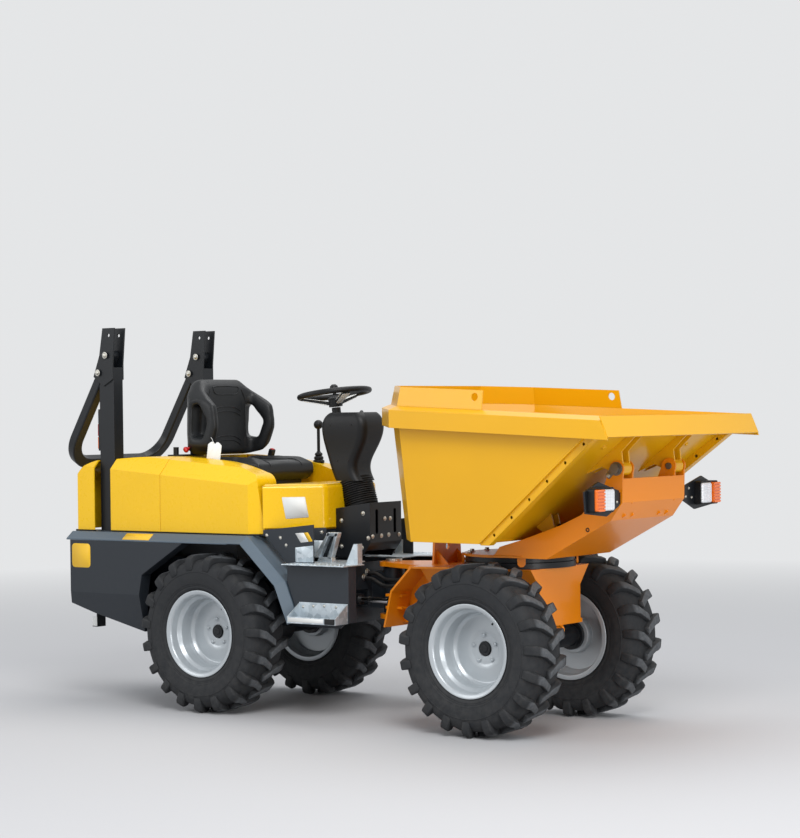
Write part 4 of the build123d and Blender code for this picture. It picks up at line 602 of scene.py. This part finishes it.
def puffedForm(source):
    # the pad after some frames as cloth under pressure, with nothing pulling it down
    gravity, scene.gravity = scene.gravity[:], (0, 0, 0)
    cloth = source.modifiers.new("pad", "CLOTH")
    fabric = cloth.settings
    fabric.use_pressure = True
    fabric.uniform_pressure_force = seatSettings["pressure"]
    fabric.tension_stiffness = fabric.compression_stiffness = seatSettings["stiffness"]
    fabric.bending_stiffness = seatSettings["bending"]
    fabric.quality = 5
    cloth.collision_settings.use_collision = False
    cloth.point_cache.frame_start, cloth.point_cache.frame_end = 1, seatSettings["frames"]
    for number in range(1, seatSettings["frames"] + 1):
        scene.frame_set(number)
    puffed = evaluatedMesh(source)
    source.modifiers.clear()
    scene.frame_set(1)
    scene.gravity = gravity
    return puffed


def inflated(node, name):
    # a copy of the node, remeshed and puffed up a little, kept close to the node's own form
    source = placed(name, nodes[node].data.copy())
    remesh = source.modifiers.new("even", "REMESH")
    remesh.mode = "VOXEL"
    remesh.voxel_size = seatSettings["voxel"]
    data = evaluatedMesh(source)
    source.modifiers.clear()
    source.data = data
    rest = [v.co.copy() for v in data.vertices]
    puffed = puffedForm(source)
    for vertex, before, after in zip(data.vertices, rest, puffed.vertices):
        move = after.co - before
        if move.length > seatSettings["largestMove"]:
            move *= seatSettings["largestMove"] / move.length
        vertex.co = before + move
    bpy.data.meshes.remove(puffed)
    shape = bmesh.new()
    shape.from_mesh(data)
    for k in range(seatSettings["rounding"][node]):
        bmesh.ops.smooth_vert(shape, verts=shape.verts, factor=0.5, use_axis_x=True, use_axis_y=True, use_axis_z=True)
    shape.to_mesh(data)
    shape.free()
    finer = source.modifiers.new("finer", "SUBSURF")
    finer.levels = finer.render_levels = 1
    data = evaluatedMesh(source)
    bpy.data.objects.remove(source)
    made = dressPiece(name, data, "seat_vinyl", sharp=0)
    data.shade_smooth()
    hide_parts(node)
    return made


cushion = inflated("seat_cushion", "seatCushion")
backrest = inflated("seat_back", "seatBack")
print("seat made:", len(cushion.data.vertices), len(backrest.data.vertices))


def settled(piece, points, lift):
    # each point dropped on the piece's surface from where it is, with the surface's normal
    surface = piece.evaluated_get(bpy.context.evaluated_depsgraph_get())
    found = [surface.closest_point_on_mesh(point)[1:3] for point in points]
    return [(place + normal * lift, normal) for place, normal in found]


def seamsOn(name, piece, paths):
    radius = seatSettings["seamRadius"]
    lines = [[place for place, normal in settled(piece, smoothPath(path, 10), radius * 0.25)] for path in paths]
    tubePiece(name, lines, radius, finishes["seat_vinyl"], sides=8, step=0.004)


cushionLow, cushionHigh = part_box("seat_cushion")
seatX, cushionTop = (cushionLow.x + cushionHigh.x) / 2 + 0.0015, cushionHigh.z
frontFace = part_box("seat_back")[1].x - 0.12
# welts round the cushion's middle and along the backrest's bolsters: (forward, across, up) and (across, up)
cushionWelts = [[(-0.15, side * 0.118, 0), (0, side * 0.12, 0), (0.13, side * 0.122, 0), (0.2, side * 0.122, -0.045)]
                for side in (-1, 1)]
cushionWelts.append([(0.095, -0.118, 0), (0.102, 0, 0), (0.095, 0.118, 0)])
backWelts = [[(side * y, z) for y, z in ((0.148, 1.29), (0.15, 1.4), (0.146, 1.5), (0.118, 1.585))] for side in (-1, 1)]
backWelts += [[(-0.108, top - fall), (-0.06, top - 0.004), (0, top), (0.06, top - 0.004), (0.108, top - fall)]
              for top, fall in ((1.494, 0.022), (1.47, 0.022), (1.345, 0.024), (1.322, 0.024))]
backWelts.append([(-0.098, 1.6), (-0.082, 1.56), (0, 1.556), (0.082, 1.56), (0.098, 1.6), (0.05, 1.607),
                  (-0.05, 1.607), (-0.098, 1.6)])
welts = [[Vector((seatX + x, y, cushionTop + z)) for x, y, z in path] for path in cushionWelts]
seamsOn("cushionSeams", cushion, welts)
seamsOn("backrestSeams", backrest, [[Vector((frontFace, y, z)) for y, z in path] for path in backWelts])
print("seat seams made")


# ---- finer finishes

def reroute(material, label, build):
    # puts new nodes between what feeds a shader socket and the shader
    tree = material.node_tree
    target = tree.nodes["Principled BSDF"].inputs[label]
    feed(tree, target, build(tree, target.links[0].from_socket))


def wornWhere(material, attribute, color, scale=55.0):
    # where the mesh carries the attribute, the colour goes over to the worn one in patches
    def build(tree, before):
        amount = shade(tree, "Attribute", out="Fac", attribute_name=attribute)
        patches = ramp(tree, noise(tree, objectPlace(tree), scale, 3.0, 0.6), 0.25, 0.7)
        share = mathNode(tree, "ADD", mathNode(tree, "MULTIPLY", patches, 0.6), 0.4)
        return mixColor(tree, mathNode(tree, "MULTIPLY", amount, share), before, color)
    reroute(material, "Base Color", build)


def grained(material, scale, strength, distance=0.0004, flutes=None):
    # a fine moulded grain, or flutes across one axis
    def build(tree, before):
        place = {"Vector": objectPlace(tree), "Scale": scale}
        if flutes:
            height = shade(tree, "TexWave", {**place, "Distortion": 0.0}, "Fac", bands_direction=flutes)
        else:
            height = shade(tree, "TexVoronoi", place, "Distance")
        return shade(tree, "Bump", {"Strength": strength, "Distance": distance, "Height": height,
                                    "Normal": before}, "Normal")
    reroute(material, "Normal", build)


def spangled(material, light, dark, scale):
    # the crystal pattern of a zinc coat
    def build(tree, before):
        cells = shade(tree, "TexVoronoi", {"Vector": objectPlace(tree), "Scale": scale, "Randomness": 1.0}, "Color")
        spangle = mixColor(tree, shade(tree, "SeparateColor", {0: cells}), dark, light)
        return mixColor(tree, 0.75, before, spangle)
    reroute(material, "Base Color", build)


grainSettings = {"vinyl": (620.0, 0.35), "plastic": (900.0, 0.25), "whiteLens": (24.0, 0.6, 0.002),
                 "redLens": (30.0, 0.5, 0.0015), "spangle": 38.0, "lugWear": (92, 95, 98)}
grained(finishes["seat_vinyl"], *grainSettings["vinyl"])
grained(finishes["black_plastic"], *grainSettings["plastic"])
spangled(finishes["galvanised"], srgb(214, 222, 228), srgb(160, 172, 180), grainSettings["spangle"])
for label, lens, flutes in (("lamp_white", "whiteLens", "Z"), ("lamp_white", "whiteLens", "Y"),
                            ("lamp_red", "redLens", "Y")):
    grained(finishes[label], *grainSettings[lens], flutes)
wornWhere(finishes["tyre_rubber"], "lugWear", srgb(*grainSettings["lugWear"]))

ledgeGrey = paintMaterial("ledgeGrey", (84, 98, 110), 0.42, 0.12, 0.08, 0.3)
nodes["fenders"].data.materials[0] = ledgeGrey
blankWhite = paintMaterial("blankWhite", (232, 233, 230), 0.4, 0.3, 0.08, 0.0)
blankYellow = paintMaterial("blankYellow", (240, 190, 40), 0.4, 0.3, 0.08, 0.0)
pinSteel = paintMaterial("pinSteel", (128, 122, 112), 0.38, 0.0, 0.25, 0.0, 0.9)
nodes["hinge_pins"].data.materials[0] = pinSteel
redPlastic = paintMaterial("redPlastic", (190, 28, 30), 0.35, 0.4, 0.05, 0.0)
print("finer finishes set")


# ---- bolts and grommets, placed on the nodes' own surfaces

def snapped(node, points):
    # each point moved onto the node's surface, with the surface's normal there
    piece, found = nodes[node], []
    back, turn = piece.matrix_world.inverted(), piece.matrix_world.to_3x3()
    for point in points:
        place, normal = piece.closest_point_on_mesh(back @ point)[1:3]
        found.append((piece.matrix_world @ place, (turn @ normal).normalized()))
    return found


def bothSides(points):
    return list(points) + [(x, -y, z) for x, y, z in points]


def studsOn(name, node, points, kind="dome", material="zinc_steel", body="chassis"):
    sink = 0.0002 if kind == "dimple" else 0.0004
    spots = snapped(node, [at(*p) for p in points])
    studPiece(name, kind, [(place - normal * sink, normal, boltSizes[name]) for place, normal in spots], material, body)


boltSizes = {"postBolts": 0.034, "sidePlateBolts": 0.017, "columnBaseBolts": 0.022, "lampPlateBolts": 0.014,
             "carrierEyelets": 0.02, "turntableBolts": 0.03, "cowlScrews": 0.008, "stepRivets": 0.014,
             "stepDimples": 0.009, "deckDimples": 0.01, "channelBolts": 0.03}
tableRing = {"bolts": 12, "radius": 236.0, "clear": 225}
tableBolts = []
for k in range(tableRing["bolts"]):
    angle = 2 * pi * (k + 0.5) / tableRing["bolts"]
    x, y = (tableRing["radius"] * share for share in (cos(angle), sin(angle)))
    # no bolt under the side plates
    if abs(y) < tableRing["clear"]:
        tableBolts.append((1530 + x, y, 802))
stepGrid = [(x, -y, 480) for row, y in enumerate((478, 498, 514, 534)) for x in range(596 + 9 * (row % 2), 860, 18)]
deckGrid = [(x, -y, 748) for row, y in enumerate(range(418, 495, 15)) for x in range(524 + 12 * (row % 2), 868, 24)]
studsOn("postBolts", "posts",
        bothSides([(-739, 402, 1763), (-739, 286, 1763), (-792.05, 402, 1674.7), (-792.05, 288, 1674.7)]))
studsOn("sidePlateBolts", "side_boxes", bothSides([(415, -402, 858), (450, -402, 823), (330, -402, 868)]))
studsOn("columnBaseBolts", "column_base",
        bothSides([(574, -130, 931), (708, -130, 968), (737, -130, 849), (698, -130, 803), (573, -130, 806)])
        + [(755, y, z) for y, z in ((-8, 939), (36, 938), (22, 859), (-36, 857), (106, 857), (-106, 857))])
studsOn("lampPlateBolts", "lamp_brackets", bothSides([(2244, -330, 1090), (2244, -356, 1047), (2244, -300, 1052)]),
        body="carrier")
studsOn("carrierEyelets", "carrier", bothSides([(2070, -275, 925)]), "eyelet", "black_plastic", "carrier")
studsOn("turntableBolts", "turntable", tableBolts, "hex", body="carrier")
studsOn("cowlScrews", "column_cowl",
        bothSides([(490, -110, 1395), (620, -110, 1395), (520, -100, 1220), (590, -100, 1220)]), material="black_metal")
studsOn("stepRivets", "steps", bothSides([(602, -462, 540), (730, -462, 548), (664, -462, 545), (800, -462, 545)]))
studsOn("stepDimples", "steps", bothSides(stepGrid), "dimple", "galvanised")
studsOn("deckDimples", "deck_plates", bothSides(deckGrid), "dimple", "galvanised")
studsOn("channelBolts", "skip_tub", bothSides([(2212, -358, 1292)]), material="skip_yellow", body="skip")
print("bolts made")


# ---- blank plates and stickers

def plateOn(name, corners, thickness, corner, material, outward=(0, -1, 0), edge=0.0002, sink=0.0002, body="chassis",
            slotName=None):
    # a thin flat plate over corners given in millimetres, standing off the face that faces outward
    points = [at(*c) for c in corners]
    normal = (points[1] - points[0]).cross(points[-1] - points[0]).normalized()
    if normal.dot(Vector(outward)) < 0:
        normal.negate()
    face = facing(sum(points, Vector()) / len(points) - normal * sink, normal)
    inside = face.inverted()
    form = softPlate([(p.x, p.y) for p in (inside @ q for q in points)], thickness, corner, edge)
    return meshPiece(name, moved(form, face), material, body, slotName)


plateOn("pedestalSticker", [(375, -336, 1050), (462, -264, 1050), (475, -253, 951), (390, -324, 945)], 0.0005, 0.004,
        blankWhite, (0.64, -0.77, 0), sink=-0.0008)
plateOn("labelWhite", [(508, -398, 882), (560, -398, 886), (590, -398, 843), (542, -398, 838)], 0.0005, 0.003,
        blankWhite)
plateOn("labelYellow", [(561, -398, 886), (587, -398, 888), (615, -398, 846), (591, -398, 843)], 0.0005, 0.003,
        blankYellow)
plateOn("rearPatch", [(-886, -500, 806), (-756, -500, 806), (-756, -500, 684), (-886, -500, 684)], 0.0006, 0.022,
        blankYellow)
plateOn("ledgePatch", [(-538, -497, 832.4), (-355, -497, 832.4), (-355, -459, 862), (-538, -459, 862)], 0.0005, 0.004,
        blankYellow, (0, -0.6, 0.8))
plateOn("bracketPlate", [(-913, -330, 416), (-881, -330, 416), (-881, -330, 368), (-913, -330, 368)], 0.0012, 0.003,
        blankWhite, sink=-0.0002)
for side, hand in hands:
    square, slanted = (0, side, 0), (0.64, side * 0.77, 0)
    for name, corners, thickness, corner, material, outward, edge in (
            ("stepStrip", [(584, 552, 496), (797, 552, 496), (797, 552, 476), (584, 552, 476)],
             0.0006, 0.003, blankWhite, square, 0.0002),
            ("stepBlock", [(806, 552, 499), (864, 552, 499), (864, 552, 472), (806, 552, 472)],
             0.006, 0.003, "black_plastic", square, 0.002),
            ("kickPlate", [(508, 398, 745), (618, 398, 745), (618, 398, 826), (508, 398, 814)],
             0.002, 0.004, "galvanised", square, 0.0005),
            ("skirtPlate", [(440, 287, 899), (542, 202, 899), (542, 202, 836), (440, 287, 836)],
             0.004, 0.003, "chassis_dark", slanted, 0.0006),
            ("riserPanel", [(440, 289, 838), (544, 203, 838), (544, 203, 742), (440, 289, 742)],
             0.003, 0.003, "galvanised", slanted, 0.0006)):
        plateOn(name + hand, [(x, side * y, z) for x, y, z in corners], thickness, corner, material, outward, edge)
    # a keeper plate holds each hinge pin from turning
    keeper = [(x, side * 271, z) for x, z in ((2201, 1206), (2222, 1186), (2186, 1148), (2166, 1167))]
    plateOn("pinKeeper" + hand, keeper, 0.005, 0.006, pinSteel, square, 0.0008, body="carrier", slotName="zinc_steel")
skirtBolts = [(at(528.6, side * 221.5, 878), (0.64, side * 0.77, 0), 0.017) for side in (-1, 1)]
keeperBolts = [(at(2181, side * 275.6, 1164), (0, side, 0), 0.018) for side in (-1, 1)]
studPiece("skirtBolts", "dome", skirtBolts, "zinc_steel")
studPiece("keeperBolts", "hex", keeperBolts, "zinc_steel", "carrier")
print("plates and stickers made")

# ---- lamps on the posts' rear faces
postLamp = {"low": 1275, "high": 1488, "inner": 318, "outer": 372, "back": 795.5, "depth": 20, "border": 8,
            "rounding": 0.004}
wide, tall = (postLamp["outer"] - postLamp["inner"]) / 1000, (postLamp["high"] - postLamp["low"]) / 1000
third = (postLamp["high"] - postLamp["low"] - 2 * postLamp["border"]) / 3
housing = softBox((postLamp["depth"] / 1000, wide, tall), postLamp["rounding"], 3)
pane = softBox((0.012, wide - 0.01, third / 1000 - 0.004), postLamp["rounding"], 3)
for side, hand in hands:
    x, y = -postLamp["back"] - postLamp["depth"], side * (postLamp["inner"] + postLamp["outer"]) / 2
    middle = at(x + postLamp["depth"] / 2, y, (postLamp["low"] + postLamp["high"]) / 2)
    meshPiece(f"postLamp{hand}", moved(housing, middle), "black_plastic")
    for k, color in enumerate(("amber", "red", "white")):
        place = at(x - 3, y, postLamp["low"] + postLamp["border"] + third * (k + 0.5))
        meshPiece(f"postLamp{hand}{color.title()}", moved(pane, place), "lamp_" + color)
print("post lamps made")

# ---- knobs, tag and buckle at the seat
knob = turned([(0, 0), (0.006, 0), (0.006, 0.012), (0.012, 0.014), (0.0155, 0.02), (0.0155, 0.027), (0.012, 0.032),
               (0.0, 0.034)], 24)
redSpot, wingSpot = settled(backrest, [at(-345, -250, 1268), at(-372, -246, 1262)], 0.0)
meshPiece("redKnob", moved(knob, facing(redSpot[0] - redSpot[1] * 0.003, redSpot[1])), redPlastic)
wing = softPlate([(-0.02, -0.006), (-0.008, -0.011), (0.008, -0.011), (0.02, -0.006), (0.02, 0.006), (0.008, 0.011),
                  (-0.008, 0.011), (-0.02, 0.006)], 0.012, 0.004, 0.002)
wingAt = facing(wingSpot[0] + wingSpot[1] * 0.002, wingSpot[1])
meshPiece("wingKnob", moved(wing, wingAt), "black_plastic")
meshPiece("wingKnobDot", moved(turned([(0.0045, 0.012), (0.0045, 0.0128), (0.0, 0.013)], 16), wingAt), blankWhite)
tag = softPlate([(-0.04, -0.048), (0.04, -0.048), (0.04, 0.036), (0.022, 0.05), (0.008, 0.05), (0.004, 0.042),
                 (-0.004, 0.042), (-0.008, 0.05), (-0.022, 0.05), (-0.04, 0.036)], 0.0008, 0.004, 0.0002)
tagAt = facing(at(-138, -243, 1266), (0.18, -1, 0.06)) @ rotated(-6, "Z")
meshPiece("hangTag", moved(tag, tagAt), blankWhite)
loop = [(-140, -244, 1309), (-150, -243, 1330), (-165, -236, 1338), (-172, -228, 1330)]
tubePiece("hangTagLoop", [smoothPath([at(*p) for p in loop])], 0.0012, blankWhite, sides=8, step=0.003)
buckleAt = Matrix.Translation(at(-150, 214, 1246)) @ rotated(18, "Y")
buttonAt = buckleAt @ Matrix.Translation((0, 0, 0.026))
meshPiece("buckle", moved(softBox((0.022, 0.034, 0.052), 0.005, 3), buckleAt), "black_plastic")
meshPiece("buckleButton", moved(softBox((0.016, 0.022, 0.008), 0.003), buttonAt), redPlastic)
print("seat fittings made")

# ---- the galvanised stand on the deck: a leaning channel with a dark web
standSettings = {"place": (523, -262, 741), "depth": 0.03}
standAt = Matrix.Translation(at(*standSettings["place"])) @ rotated(90, "X")
bars = [[(0.000, 0.0), (0.034, 0.0), (0.112, 0.14), (0.096, 0.14)],
        [(0.092, 0.02), (0.116, 0.014), (0.16, 0.14), (0.144, 0.14)],
        [(0.09, 0.124), (0.154, 0.124), (0.16, 0.142), (0.098, 0.142)],
        [(0.0, 0.0), (0.124, 0.0), (0.12, 0.022), (0.012, 0.022)]]
channel = joined([softPlate(outline, standSettings["depth"], 0.003, 0.0012) for outline in bars])
meshPiece("deckStand", moved(channel, standAt), "galvanised")
web = softPlate([(0.03, 0.012), (0.11, 0.018), (0.15, 0.13), (0.1, 0.13)], 0.004, 0.003, 0.0006)
meshPiece("deckStandWeb", moved(web, standAt), "black_metal")
print("deck stand made")

# ---- hoses across the articulation, dark strips as painted shade in the gap under the bonnet, and cables
# each hose: its place across, and its heights as it leaves, sags and arrives
hoseSettings = {"radius": 0.0095, "fitting": 0.032, "Right": [(-96, 660, 622, 636), (-72, 684, 650, 664)],
                "Left": [(97, 650, 512, 598), (76, 612, 540, 580), (118, 676, 498, 560)]}
cablePoints = [(2234, 440, 1075), (2222, 438, 1072), (2212, 400, 1060), (2208, 350, 1040), (2200, 305, 1034),
               (2188, 276, 1030), (2170, 262, 1026)]
for side, hand in hands:
    paths = []
    for y, leave, sag, arrive in hoseSettings[hand]:
        last = 990 + max(arrive - 617, 0)
        route = [(676, 1, leave), (700, 1, leave - 6), (742, 1, (leave + sag) / 2 + 8), (800, 1, sag),
                 (860, 1.02, sag - 2), (922, 1.04, (sag + arrive) / 2), (last - 30, 1.05, arrive - 8),
                 (last + 4, 1.05, arrive + 4)]
        paths.append(smoothPath([at(x, y * spread, z) for x, spread, z in route]))
    hose = tubePiece(f"gapHoses{hand}", paths, hoseSettings["radius"], "bellows_rubber", None, sides=14, step=0.007)
    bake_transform(hose)
    ends = [(at(685, row[0], row[1] - 1), (1, 0, 0), hoseSettings["fitting"]) for row in hoseSettings[hand]]
    studPiece(f"hoseEnds{hand}", "hex", ends, "zinc_steel")
for side, hand in hands:
    # dark rubber strips along the bonnet's bottom edge: painted shade standing in for the shadow in the gap there
    gapShadeStrips = []
    for low, high in ((-940, -806), (-684, 296)):
        strip, place = softBox(((high - low) / 1000, 0.012, 0.0085), 0.002), at((low + high) / 2, side * 411, 868.5)
        gapShadeStrips.append(moved(strip, place))
    meshPiece(f"bonnetSeal{hand}", joined(gapShadeStrips), "bellows_rubber")
    cable = smoothPath([at(x, side * y, z) for x, y, z in cablePoints])
    tubePiece(f"lampCable{hand}", [cable], 0.0045, "bellows_rubber", "carrier", sides=10, step=0.006)
print("hoses, seals and cables made")

# ---- the column's ribbed boot and the steering wheel's trim
bootSettings = {"ribs": 11, "inner": 0.0745, "outer": 0.0828, "shoulder": 0.0012, "collars": 0.014}
foot, head = at(604, 0, 1004), at(566, 0, 1130)
tall, small, large = (head - foot).length, bootSettings["inner"], bootSettings["outer"]
step, shoulder = (tall - bootSettings["collars"]) / bootSettings["ribs"], bootSettings["shoulder"]
profile = [(0.06, -0.006), (0.0805, -0.006), (0.0812, 0.004)]
for k in range(bootSettings["ribs"]):
    profile += [(radius, 0.005 + step * (k + share)) for radius, share in (
        (small, 0), (small + shoulder, 0.16), (large - shoulder, 0.36), (large, 0.52), (large - shoulder, 0.66),
        (small + shoulder, 0.88))]
profile += [(0.077, tall - 0.008), (0.079, tall - 0.006), (0.079, tall), (0.06, tall)]
form = moved(turned(profile, 72), facing(foot, head - foot, (1, 0, 0)))
boot = meshPiece("columnBoot", form, "bellows_rubber", sharp=50)
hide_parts("column_bellows")

wheelTurn = Matrix.Translation(at(442, 0, 1549)) @ rotated(-7.5, "Y")
strip = softPlate([(-0.058, -0.015), (0.06, -0.02), (0.06, 0.02), (-0.058, 0.015)], 0.002, 0.006, 0.0006)
trims = [moved(strip, wheelTurn @ rotated(angle, "Z") @ Matrix.Translation((0.098, 0, height)) @ rotated(lean, "Y"))
         for angle in (90, 210, 330) for height, lean in ((-0.0212, -13.9), (-0.0375, -16.2))]
meshPiece("spokePlates", joined(trims), blankWhite, "steering_wheel")
cap = turned([(0.036, -0.03), (0.037, -0.026), (0.034, -0.021), (0.024, -0.0175), (0.012, -0.016), (0.0, -0.0155)], 40)
meshPiece("wheelCap", moved(cap, wheelTurn), "black_plastic", "steering_wheel")
print("boot and wheel trim made")

# ---- rear lamp lenses
lens = turned([(0.0405, -0.001), (0.0405, 0.0016), (0.038, 0.0024), (0.036, 0.0012), (0.034, 0.0026), (0.027, 0.003),
               (0.0255, 0.0018), (0.024, 0.0032), (0.015, 0.0036), (0.0138, 0.0024), (0.0124, 0.0038),
               (0.0, 0.0042)], 48)
ring = turned([(0.0405, 0.0), (0.0405, 0.004), (0.0425, 0.006), (0.0445, 0.004), (0.045, -0.018), (0.042, -0.018)], 48)
for side, hand in hands:
    lensAt = facing(at(-949, side * 390, 740), (-1, 0, 0))
    meshPiece(f"rearLens{hand}", moved(lens, lensAt), "lamp_red", sharp=25)
    meshPiece(f"rearLensRing{hand}", moved(ring, lensAt), "black_plastic", sharp=25)
print("rear lenses made")

# ---- weld seams
weldSettings = {"radius": 0.0026, "spacing": 0.9, "seed": 4}


def weldPiece(name, paths, material, body="chassis"):
    radius = weldSettings["radius"]
    values = {"Radius": radius, "Step": radius * weldSettings["spacing"], "Seed": weldSettings["seed"]}
    grown(name, scratchPaths(name, paths), "weldBeads", values, material, body, sharp=0)


def boxLoop(x0, x1, y0, y1, z):
    return [at(x, y, z) for x, y in ((x0, y0), (x1, y0), (x1, y1), (x0, y1), (x0, y0))]


weldPiece("postWelds", [boxLoop(-795, -695, side * 312, side * 378, 865.5) for side in (-1, 1)], "black_metal")
ribs = [boxLoop(1118, 1180, y - 4, y + 4, 735.5) for y in (-80, 80)]
weldPiece("restWelds", [boxLoop(1106, 1118, -112, 112, 735.5)] + ribs, "frame_orange", "front_frame")
seams = [[at(x, y, 799.5) for y in (-258, 258)] for x in (1640, 1648)]
seams += [[at(x, side * y, 799.5) for x in (1566, 1720)] for side in (-1, 1) for y in (271, 259)]
weldPiece("carrierWelds", seams, "frame_orange", "carrier")
print("welds made")

# ---- camera, lamps and floor
cameraView = {"eye": (7.3013 + rearX, -8.6253, 1.4548), "aim": (0.8438 + rearX, 0.0, 1.4205),
              "roll": -0.735, "lens": 95.94}
lensData = bpy.data.cameras.new("camera")
lensData.lens, lensData.sensor_width, lensData.clip_end = cameraView["lens"], 36.0, 200.0
camera = placed("camera", lensData)
eye = Vector(cameraView["eye"])
camera.matrix_world = facing(eye, eye - Vector(cameraView["aim"])) @ rotated(cameraView["roll"], "Z")
scene.camera = camera

lamps = [   # name, place from the middle of the machine, size, watts
    ("keyLamp", (4.6, -5.2, 6.5), 4.0, 420),
    ("fillLamp", (-5.0, -7.0, 4.0), 5.0, 150),
    ("topLamp", (0.0, 2.0, 7.5), 6.0, 260),
    ("frontLamp", (7.0, -2.6, 1.5), 3.0, 130),
]
for name, place, size, watts in lamps:
    light = bpy.data.lights.new(name, "AREA")
    light.shape, light.size, light.energy = "DISK", size, watts
    lamp = placed(name, light)
    lamp.location = place
    lamp.rotation_euler = (Vector(place) - Vector((0, 0, 0.9))).to_track_quat("Z", "Y").to_euler()

backdrop = {"seen": (0.78, 0.79, 0.8, 1), "light": (0.5, 0.52, 0.55, 1), "floor": (0.52, 0.52, 0.53, 1),
            "fadeFrom": 3.2, "fadeTo": 11.0}
world = bpy.data.worlds.new("studio")
world.use_nodes = True
scene.world = world
# the camera, gloss and glass see the backdrop, and a dimmer light falls on the object
tree, background = world.node_tree, world.node_tree.nodes["Background"]
path = tree.nodes.new("ShaderNodeLightPath").outputs
seen = mathNode(tree, "MAXIMUM", path["Is Camera Ray"], path["Is Glossy Ray"])
seen = mathNode(tree, "MAXIMUM", seen, path["Is Transmission Ray"])
feed(tree, background.inputs["Color"], mixColor(tree, seen, backdrop["light"], backdrop["seen"]))
background.inputs["Strength"].default_value = 1.0

floorMesh = bpy.data.meshes.new("floor")
shape = bmesh.new()
bmesh.ops.create_circle(shape, cap_ends=True, segments=64, radius=60.0)
shape.to_mesh(floorMesh)
shape.free()
floor = placed("floor", floorMesh)
floor.location = (0, 0, -0.0005)
floor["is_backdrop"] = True
made, tree, principled = bareMaterial("paleFloor", Roughness=0.85, Base_Color=backdrop["floor"])
# far away the floor turns into the backdrop, so that no horizon shows
distance = shade(tree, "VectorMath", {0: objectPlace(tree)}, "Value", operation="LENGTH")
glow = shade(tree, "Emission", {"Color": backdrop["seen"]})
surface = shade(tree, "MixShader", {0: ramp(tree, distance, backdrop["fadeFrom"], backdrop["fadeTo"]),
                                    1: principled.outputs[0], 2: glow})
feed(tree, tree.nodes["Material Output"].inputs["Surface"], surface)
floor.data.materials.append(made)
print("camera, lamps and floor made")

scene.view_settings.view_transform = "Standard"
low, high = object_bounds()
